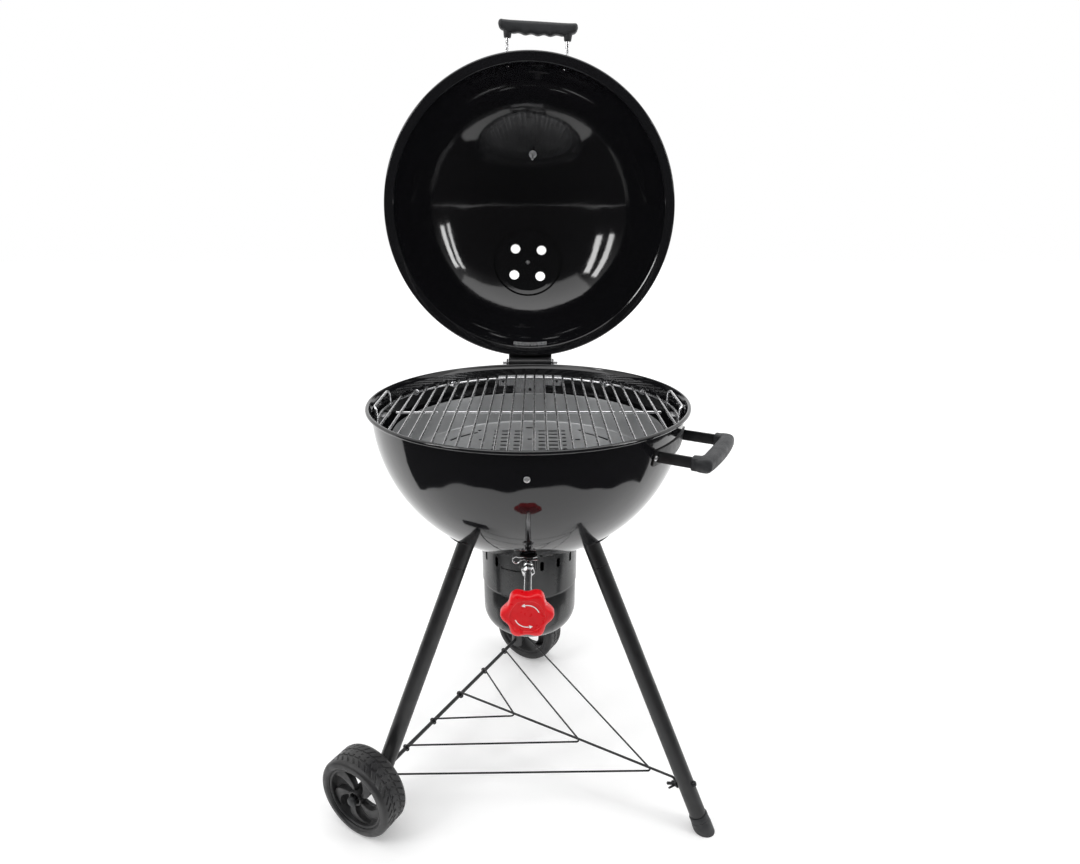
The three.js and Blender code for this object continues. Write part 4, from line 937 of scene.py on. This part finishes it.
# ---- Side handle ----
def make_side_handle():
    azimuth, z = -29, 745
    turn = spin(azimuth)
    parts = [bowl_patch("handle_plate", box_outline(75, z - 14.5, z + 12.5, 4), azimuth, GAP, GAP + 2.2)]
    for side in (-1, 1):
        inner = math.sqrt(bowl_radius(z, 1.2) ** 2 - 63 ** 2)
        bar = block((320 - inner, 4, 18), ((320 + inner) / 2, side * 63, z))
        parts.append(soften(object_from("bar", bar, turn), 0.7))
    finish(merge("handle_arms", *parts), "powder", "base", "side_handle_bracket")

    rings = []
    steps = 96
    for i in range(steps + 1):
        t = -73 + 146 * i / steps
        u = abs(t) / 73
        end = max(0.0, (abs(t) - 66) / 7)
        shrink = math.sqrt(max(0.06, 1 - 0.94 * end ** 2))
        inner = 331.8 - 11.0 * max(0.0, (u - 0.62) / 0.38) ** 1.4 if u > 0.62 else 331.8
        outer = 356.5 - 4.5 * u ** 2
        centre = (inner + outer) / 2
        across = (outer - inner) / 2 * shrink
        tall = 12.6 * shrink
        rings.append([(centre + x, t, z + y) for _, x, y in soft_oval(across, tall, 0.7)])
    parts = [object_from("handle_grip", loft(rings), turn)]
    for side in (-1, 1):
        outline = [(320.4, side * 56), (343, side * 50), (347, side * 60),
                   (345, side * 70), (320.4, side * 71)]
        sleeve = shifted(prism(outline, 22.4), (0, 0, z - 11.2))
        parts.append(soften(object_from("sleeve", sleeve, turn), 3.2, 4, 40))
    finish(merge("handle_grip_whole", *parts), "plastic", "base", "side_handle_grip")
    for name, side in (("front", -1), ("rear", 1)):
        r = math.sqrt(bowl_radius(z, 2.6) ** 2 - 71 ** 2)
        seat = turn @ Matrix.Translation((r, side * 71, z))
        seat = seat @ Matrix.Rotation(side * math.asin(71 / 272), 4, "Z")
        seat = seat @ Matrix.Rotation(math.radians(98), 4, "Y")
        finish(place(head(4.5, 2.8), seat), "steel", "base", f"side_handle_screw_{name}")


# ---- Tripod ----
ACROSS = Vector((math.cos(math.radians(LEG_AZ)), math.sin(math.radians(LEG_AZ)), 0))
ALONG = Vector((-ACROSS.y, ACROSS.x, 0))


def axle_point(s, z=AXLE_Z, e=0.0):
    p = ACROSS * (e - AXLE_OFF) + ALONG * s
    return Vector((p.x, p.y, z))


def polar(r, azimuth, z):
    return Vector((r * math.cos(math.radians(azimuth)), r * math.sin(math.radians(azimuth)), z))


FOOT = polar(FOOT_R, LEG_AZ, FOOT_Z)


def make_legs():
    ends = (("right", LEG_AZ, FOOT), ("left", 180 - LEG_AZ, axle_point(-249)), ("rear", 90, axle_point(249)))
    for name, azimuth, end in ends:
        top = polar(LEG_TOP_R, azimuth, LEG_TOP_Z)
        down = (end - top).normalized()
        length = (end - top).length + (0 if name == "right" else 19)
        matrix = look_along(top, down)
        profile = [(14.2, 0), (15.1, 0), (LEG_R, 0.4), (LEG_R, length - 0.6), (15.0, length), (14.2, length)]
        finish(object_from(f"tube_{name}", lathe(profile, 64, True), matrix), "powder", "base", f"leg_{name}")
        cup = [(0, -75), (15.5, -75), (15.5, -1.2), (14.9, -0.3), (13.9, -0.3), (13.9, 22), (0, 22)]
        cup = object_from("cup", lathe(cup, 64), matrix)
        keep = ellipse(BOWL_R + 1.2, BOWL_DEPTH + 1.2, BOWL_Z, -90, 0, 40)
        keep[0] = (0, keep[0][1])
        cut(cup, object_from("bowl_shape", lathe([*keep, (0, BOWL_Z)], 128)))
        pad = bowl_patch("pad", box_outline(30.5, 530.5, 559.5, 5), azimuth, GAP, GAP + 3)
        finish(merge(f"socket_{name}", cup, pad), "powder", "base", f"leg_socket_{name}")
    down = (FOOT - polar(LEG_TOP_R, LEG_AZ, LEG_TOP_Z)).normalized()
    outer = LEG_R + GAP + 2.6
    skirt = ((1.6, -23.6), (1, -22.4), (1, -14), (1.9, -13.2), (1.9, -12.2), (0.9, -11.4), (0, -4), (0, 30))
    cap = [(0, 0.3), (LEG_R + GAP, 0.3), (LEG_R + GAP, -24),
           *[(outer - inset, z) for inset, z in skirt], (0, 30)]
    cap = lathe(cap, 64)
    made = object_from("foot", cap, look_along(FOOT, down))
    cut(made, object_from("floor_cut", block((200, 200, 60), (FOOT.x, FOOT.y, -30))))
    finish(soften(made, 0.9, 3, 50), "plastic", "base", "foot_cap")


TYRE_R = 80.0


def tread(angle, r, z):
    """Chevron blocks on the tyre, between two smooth shoulders."""
    blocks, slope, groove_share, depth = 36, 15.0, 0.26, 1.5
    channel_at, channel_half, rib_half, shoulder = 8.5, 1.6, 2.0, 21
    if r < TYRE_R - 0.1 or abs(z) > shoulder:
        return r
    slant = (angle / (2 * math.pi) * blocks + abs(z) / slope) % 1.0
    groove = 0.0 < slant < groove_share and abs(z) > rib_half
    channel = abs(abs(z) - channel_at) < channel_half
    return r - depth if groove or channel else r


def make_wheels():
    tyre = [(62.3, -26), *arc(68, -25, 5, 200, 270, 6), (71, -29.6), *arc(72, -21.8, 7.6, -78, -16, 7),
            *[(TYRE_R, float(z)) for z in range(-22, 23)], *arc(72, 21.8, 7.6, 16, 78, 7), (71, 29.6),
            *arc(68, 25, 5, 90, 160, 6), (62.3, 26)]
    rim_band = [(57, -25), (62, -25), (62, 25), (61, 25.6), (58.4, 25.6), (57, 24)]
    for name, side in (("left", -1), ("rear", 1)):
        matrix = look_along(axle_point(side * WHEEL_MID), ALONG * side)
        body = f"{name}_wheel"
        made = object_from(f"tread_{name}", lathe(tyre, 432, True, tread), matrix)
        finish(made, "wheel", body, f"tyre_{name}")
        parts = [object_from("band", lathe(rim_band, 128, True), matrix)]
        hub = [(4.3, -30.3), (14, -30.3), (15, -29), (15, 22), (14, 24), (12, 24),
               (11, 22.5), (11, 16), (4.3, 16)]
        parts.append(object_from("hub", lathe(hub, 64, True), matrix))
        for i in range(5):
            start = 72 * i
            edges = []
            for shift, swirl in ((-16, 38), (20, 34)):
                line = []
                for k in range(15):
                    t = k / 14
                    r = 12 + 47.5 * t
                    a = math.radians(start + shift * (0.55 + 0.45 * t) + swirl * t * t)
                    line.append((r * math.cos(a), r * math.sin(a)))
                edges.append(line)
            spoke = shifted(prism([*edges[0], *reversed(edges[1])], 9), (0, 0, 10))
            for vert in spoke.verts:
                reach = math.hypot(vert.co.x, vert.co.y)
                vert.co.z += 3.0 * math.sin((reach - 12) / 48 * math.pi) if vert.co.z > 14 else 0.0
            parts.append(soften(object_from("spoke", spoke, matrix), 1.4, 3, 40))
        finish(merge(f"rim_{name}", *parts), "wheel", body, f"wheel_{name}")
        cap = [(4.3, 0), (9, 0), (9.5, 0.6), (9.5, 3), (8.6, 5.2), (6, 7), (0, 7.5), (0, 5), (4.3, 5)]
        cap = object_from(f"cap_{name}", lathe(cap, 40, True), matrix @ Matrix.Translation((0, 0, 28.5)))
        finish(cap, "plastic", "base", f"axle_cap_{name}")
    made = object_from("axle_rod", rod(axle_point(-337), axle_point(337), 4, 32))
    finish(made, "powder", "base", "axle")


MAIN_WIRE, SIDE_WIRE = 2.3, 1.8
BOLT_Z = 88


def make_rack():
    lean = math.atan((FOOT_R - LEG_TOP_R) / (LEG_TOP_Z - FOOT_Z))
    centre = polar(LEG_TOP_R + math.tan(lean) * (LEG_TOP_Z - BOLT_Z), LEG_AZ, BOLT_Z)
    normal = ACROSS * math.cos(lean) + Vector((0, 0, math.sin(lean)))
    rise = ACROSS * -math.sin(lean) + Vector((0, 0, math.cos(lean)))

    def bolt_point(out, up=0.0):
        return centre + normal * out + rise * up

    def hoop(centre, side, up, ring, wire):
        return tube(circle(centre, side, up, ring, 28), wire, 10, closed=True)

    def hook(s, ring, wire):
        return hoop(axle_point(s), ACROSS, Vector((0, 0, 1)), ring, wire)

    eye_out = -(LEG_R + GAP + MAIN_WIRE)
    route = [axle_point(0, 86.6), axle_point(0, 88.6, 150), axle_point(0, 90.4, 300), bolt_point(-36, 20),
             bolt_point(-20.5, 13), bolt_point(eye_out, 5.1)]
    main = join_bm(tube(rounded(route, 7), MAIN_WIRE, 12), hook(0, 6.6, MAIN_WIRE),
                   hoop(bolt_point(eye_out), ALONG, rise, 5.7, MAIN_WIRE))
    finish(object_from("rack_spine", main), "powder", "base", "rack_main_wire")
    vees = (("short", 96, 142, 88.5), ("middle", 183, 297, 90.3), ("long", 269, 450, 90.7))
    for name, half, reach, above in vees:
        apex = above - 4.7
        beside = half * 5 / reach
        route = [axle_point(-half, 86.1), axle_point(-beside, apex, reach - 2),
                 axle_point(beside, apex, reach - 2), axle_point(half, 86.1)]
        bent = join_bm(tube(rounded(route, 6), SIDE_WIRE, 10), *[
            hook(s, 6.1, SIDE_WIRE) for s in (-half, half)])
        finish(object_from(f"rack_v_{name}", bent), "powder", "base", f"rack_wire_{name}")

    head_at = LEG_R + GAP
    shank = rod(bolt_point(-40), bolt_point(head_at + 2), 3, 20)
    cap = moved(lathe([(0, 0), (5.5, 0), (5.5, 1.6), (4.4, 3.6), (2.4, 4.5), (0, 4.5)], 32),
                look_along(bolt_point(head_at), normal))
    finish(object_from("rack_screw", join_bm(shank, cap)), "dark", "base", "rack_bolt")
    nut = lathe([(3.3, 0), (6, 0), (5.4, 8), (3.3, 8)], 32, True)
    wings = []
    for side in (-1, 1):
        outline = [(side * x, y) for x, y in ((3, 0), (4, 5), (9, 9), (13, 12), (14, 9), (9, 2.5))]
        wing = shifted(prism(outline, 2.4), (0, 0, -1.2))
        wings.append(moved(wing, Matrix.Rotation(math.pi / 2, 4, "X")))
    turn = Matrix((ALONG, rise, -normal)).transposed().to_4x4()
    seat = Matrix.Translation(bolt_point(eye_out - MAIN_WIRE - GAP)) @ turn
    body = object_from("wing", join_bm(nut, *wings), seat)
    finish(soften(body, 0.4, 2), "dark", "base", "rack_wing_nut")


# ---- Stage ----
FLOOR_SIZE, FLOOR_DROP = 14.0, -0.0005
CLOTH_FAR, CLOTH_LIFT = 13.4, Vector((0, 0, 0.002))


def make_stage():
    floor = bpy.data.meshes.new("floor")
    bm = bmesh.new()
    bmesh.ops.create_grid(bm, x_segments=1, y_segments=1, size=FLOOR_SIZE)
    bm.to_mesh(floor)
    bm.free()
    made = linked("floor", floor)
    made.location.z = FLOOR_DROP
    paint = Paint("floor", (0.86, 0.86, 0.86), 0.8)
    paint.set("Emission Color", (1, 1, 1, 1))
    away = paint.node("ShaderNodeVectorMath", operation="LENGTH")
    paint.link(paint.coords((1, 1, 0)), away.inputs[0])
    paint.link(paint.span(away.outputs["Value"], 0.22, 0.62, 0.4, 6.0),
               paint.shader.inputs["Emission Strength"])
    floor.materials.append(paint.mat)

    # Black cloth on the floor before the grill, out of the camera's sight: enamel mirrors it.
    bm = bmesh.new()
    rows = []
    for step in range(121):
        angle = math.radians(176 + 188 * step / 120)
        near = 0.97 + 0.06 * math.sin(5.3 * angle) + 0.02 * math.sin(13.7 * angle)
        ahead = Vector((math.cos(angle), math.sin(angle), 0))
        rows.append([bm.verts.new(AXIS + ahead * r + CLOTH_LIFT) for r in (near, CLOTH_FAR)])
    for first, second in zip(rows, rows[1:]):
        bm.faces.new((first[0], first[1], second[1], second[0]))
    cloth = bpy.data.meshes.new("black_cloth")
    bm.to_mesh(cloth)
    bm.free()
    cloth.materials.append(Paint("black_cloth", (0.004, 0.004, 0.004), 0.95).mat)
    flag = linked("black_cloth", cloth)
    flag.visible_camera = False
    flag.visible_diffuse = False
    flag.visible_shadow = False

    # White behind the object and overhead, dark behind the camera: black enamel stays black.
    world = bpy.data.worlds.new("studio")
    bpy.context.scene.world = world
    world.use_nodes = True
    nodes, links = world.node_tree.nodes, world.node_tree.links
    nodes["Background"].inputs["Color"].default_value = (1, 1, 1, 1)
    direction = nodes.new("ShaderNodeTexCoord")
    split = nodes.new("ShaderNodeSeparateXYZ")
    ramp = nodes.new("ShaderNodeMapRange")
    ramp.interpolation_type = "SMOOTHSTEP"
    for key, value in (("From Min", -0.25), ("From Max", 0.5), ("To Min", 0.05), ("To Max", 1.0)):
        ramp.inputs[key].default_value = value
    lift = nodes.new("ShaderNodeMath")
    lift.operation = "MULTIPLY_ADD"
    lift.inputs[1].default_value = 0.7
    links.new(direction.outputs["Generated"], split.inputs["Vector"])
    links.new(split.outputs["Z"], lift.inputs[0])
    links.new(split.outputs["Y"], lift.inputs[2])
    links.new(lift.outputs["Value"], ramp.inputs["Value"])
    links.new(ramp.outputs["Result"], nodes["Background"].inputs["Strength"])

    for name, spot, aim, size_xy, power in (
        ("key_near", (-2.45, -1.8, 2.6), (0, 0, 0.8), (0.28, 1.5), 14),
        ("key_far", (-2.75, -1.2, 2.6), (0, 0, 0.8), (0.34, 1.7), 18),
        ("fill_near", (2.65, -1.35, 2.2), (0, 0, 0.7), (0.16, 1.7), 9),
        ("fill_far", (2.8, -1.0, 2.2), (0, 0, 0.7), (0.24, 1.5), 13),
        ("top", (0.1, -0.5, 3.6), (0, 0, 0.6), (4.6, 2.2), 46),
    ):
        light = bpy.data.lights.new(name, "AREA")
        light.shape = "RECTANGLE"
        light.size, light.size_y = size_xy
        light.energy = power
        lamp = linked(name, light)
        lamp.location = spot
        lamp.rotation_euler = (Vector(aim) - Vector(spot)).to_track_quat("-Z", "Y").to_euler()


def make_camera():
    # The place, angles and focal length that were solved from the rims and the floor contacts.
    spot = AXIS + Vector((0.0136, -1.1859, 1.1123))
    pitch, yaw, focal_px, width_px = 0.315, 0.0056, 686.6, 1080
    ahead = Vector((math.sin(yaw) * math.cos(pitch), math.cos(yaw) * math.cos(pitch), -math.sin(pitch)))
    data = bpy.data.cameras.new("camera")
    data.sensor_width = 36
    data.lens = focal_px / width_px * data.sensor_width
    camera = linked("camera", data)
    camera.location = spot
    camera.rotation_euler = ahead.to_track_quat("-Z", "Y").to_euler()
    bpy.context.scene.camera = camera
    bpy.context.scene.view_settings.view_transform = "Standard"


make_camera()
make_bowl()
make_hinge()
make_lid()
make_grate()
make_pan()
make_knob()
make_ash_catcher()
make_side_handle()
make_legs()
make_wheels()
make_rack()
make_stage()
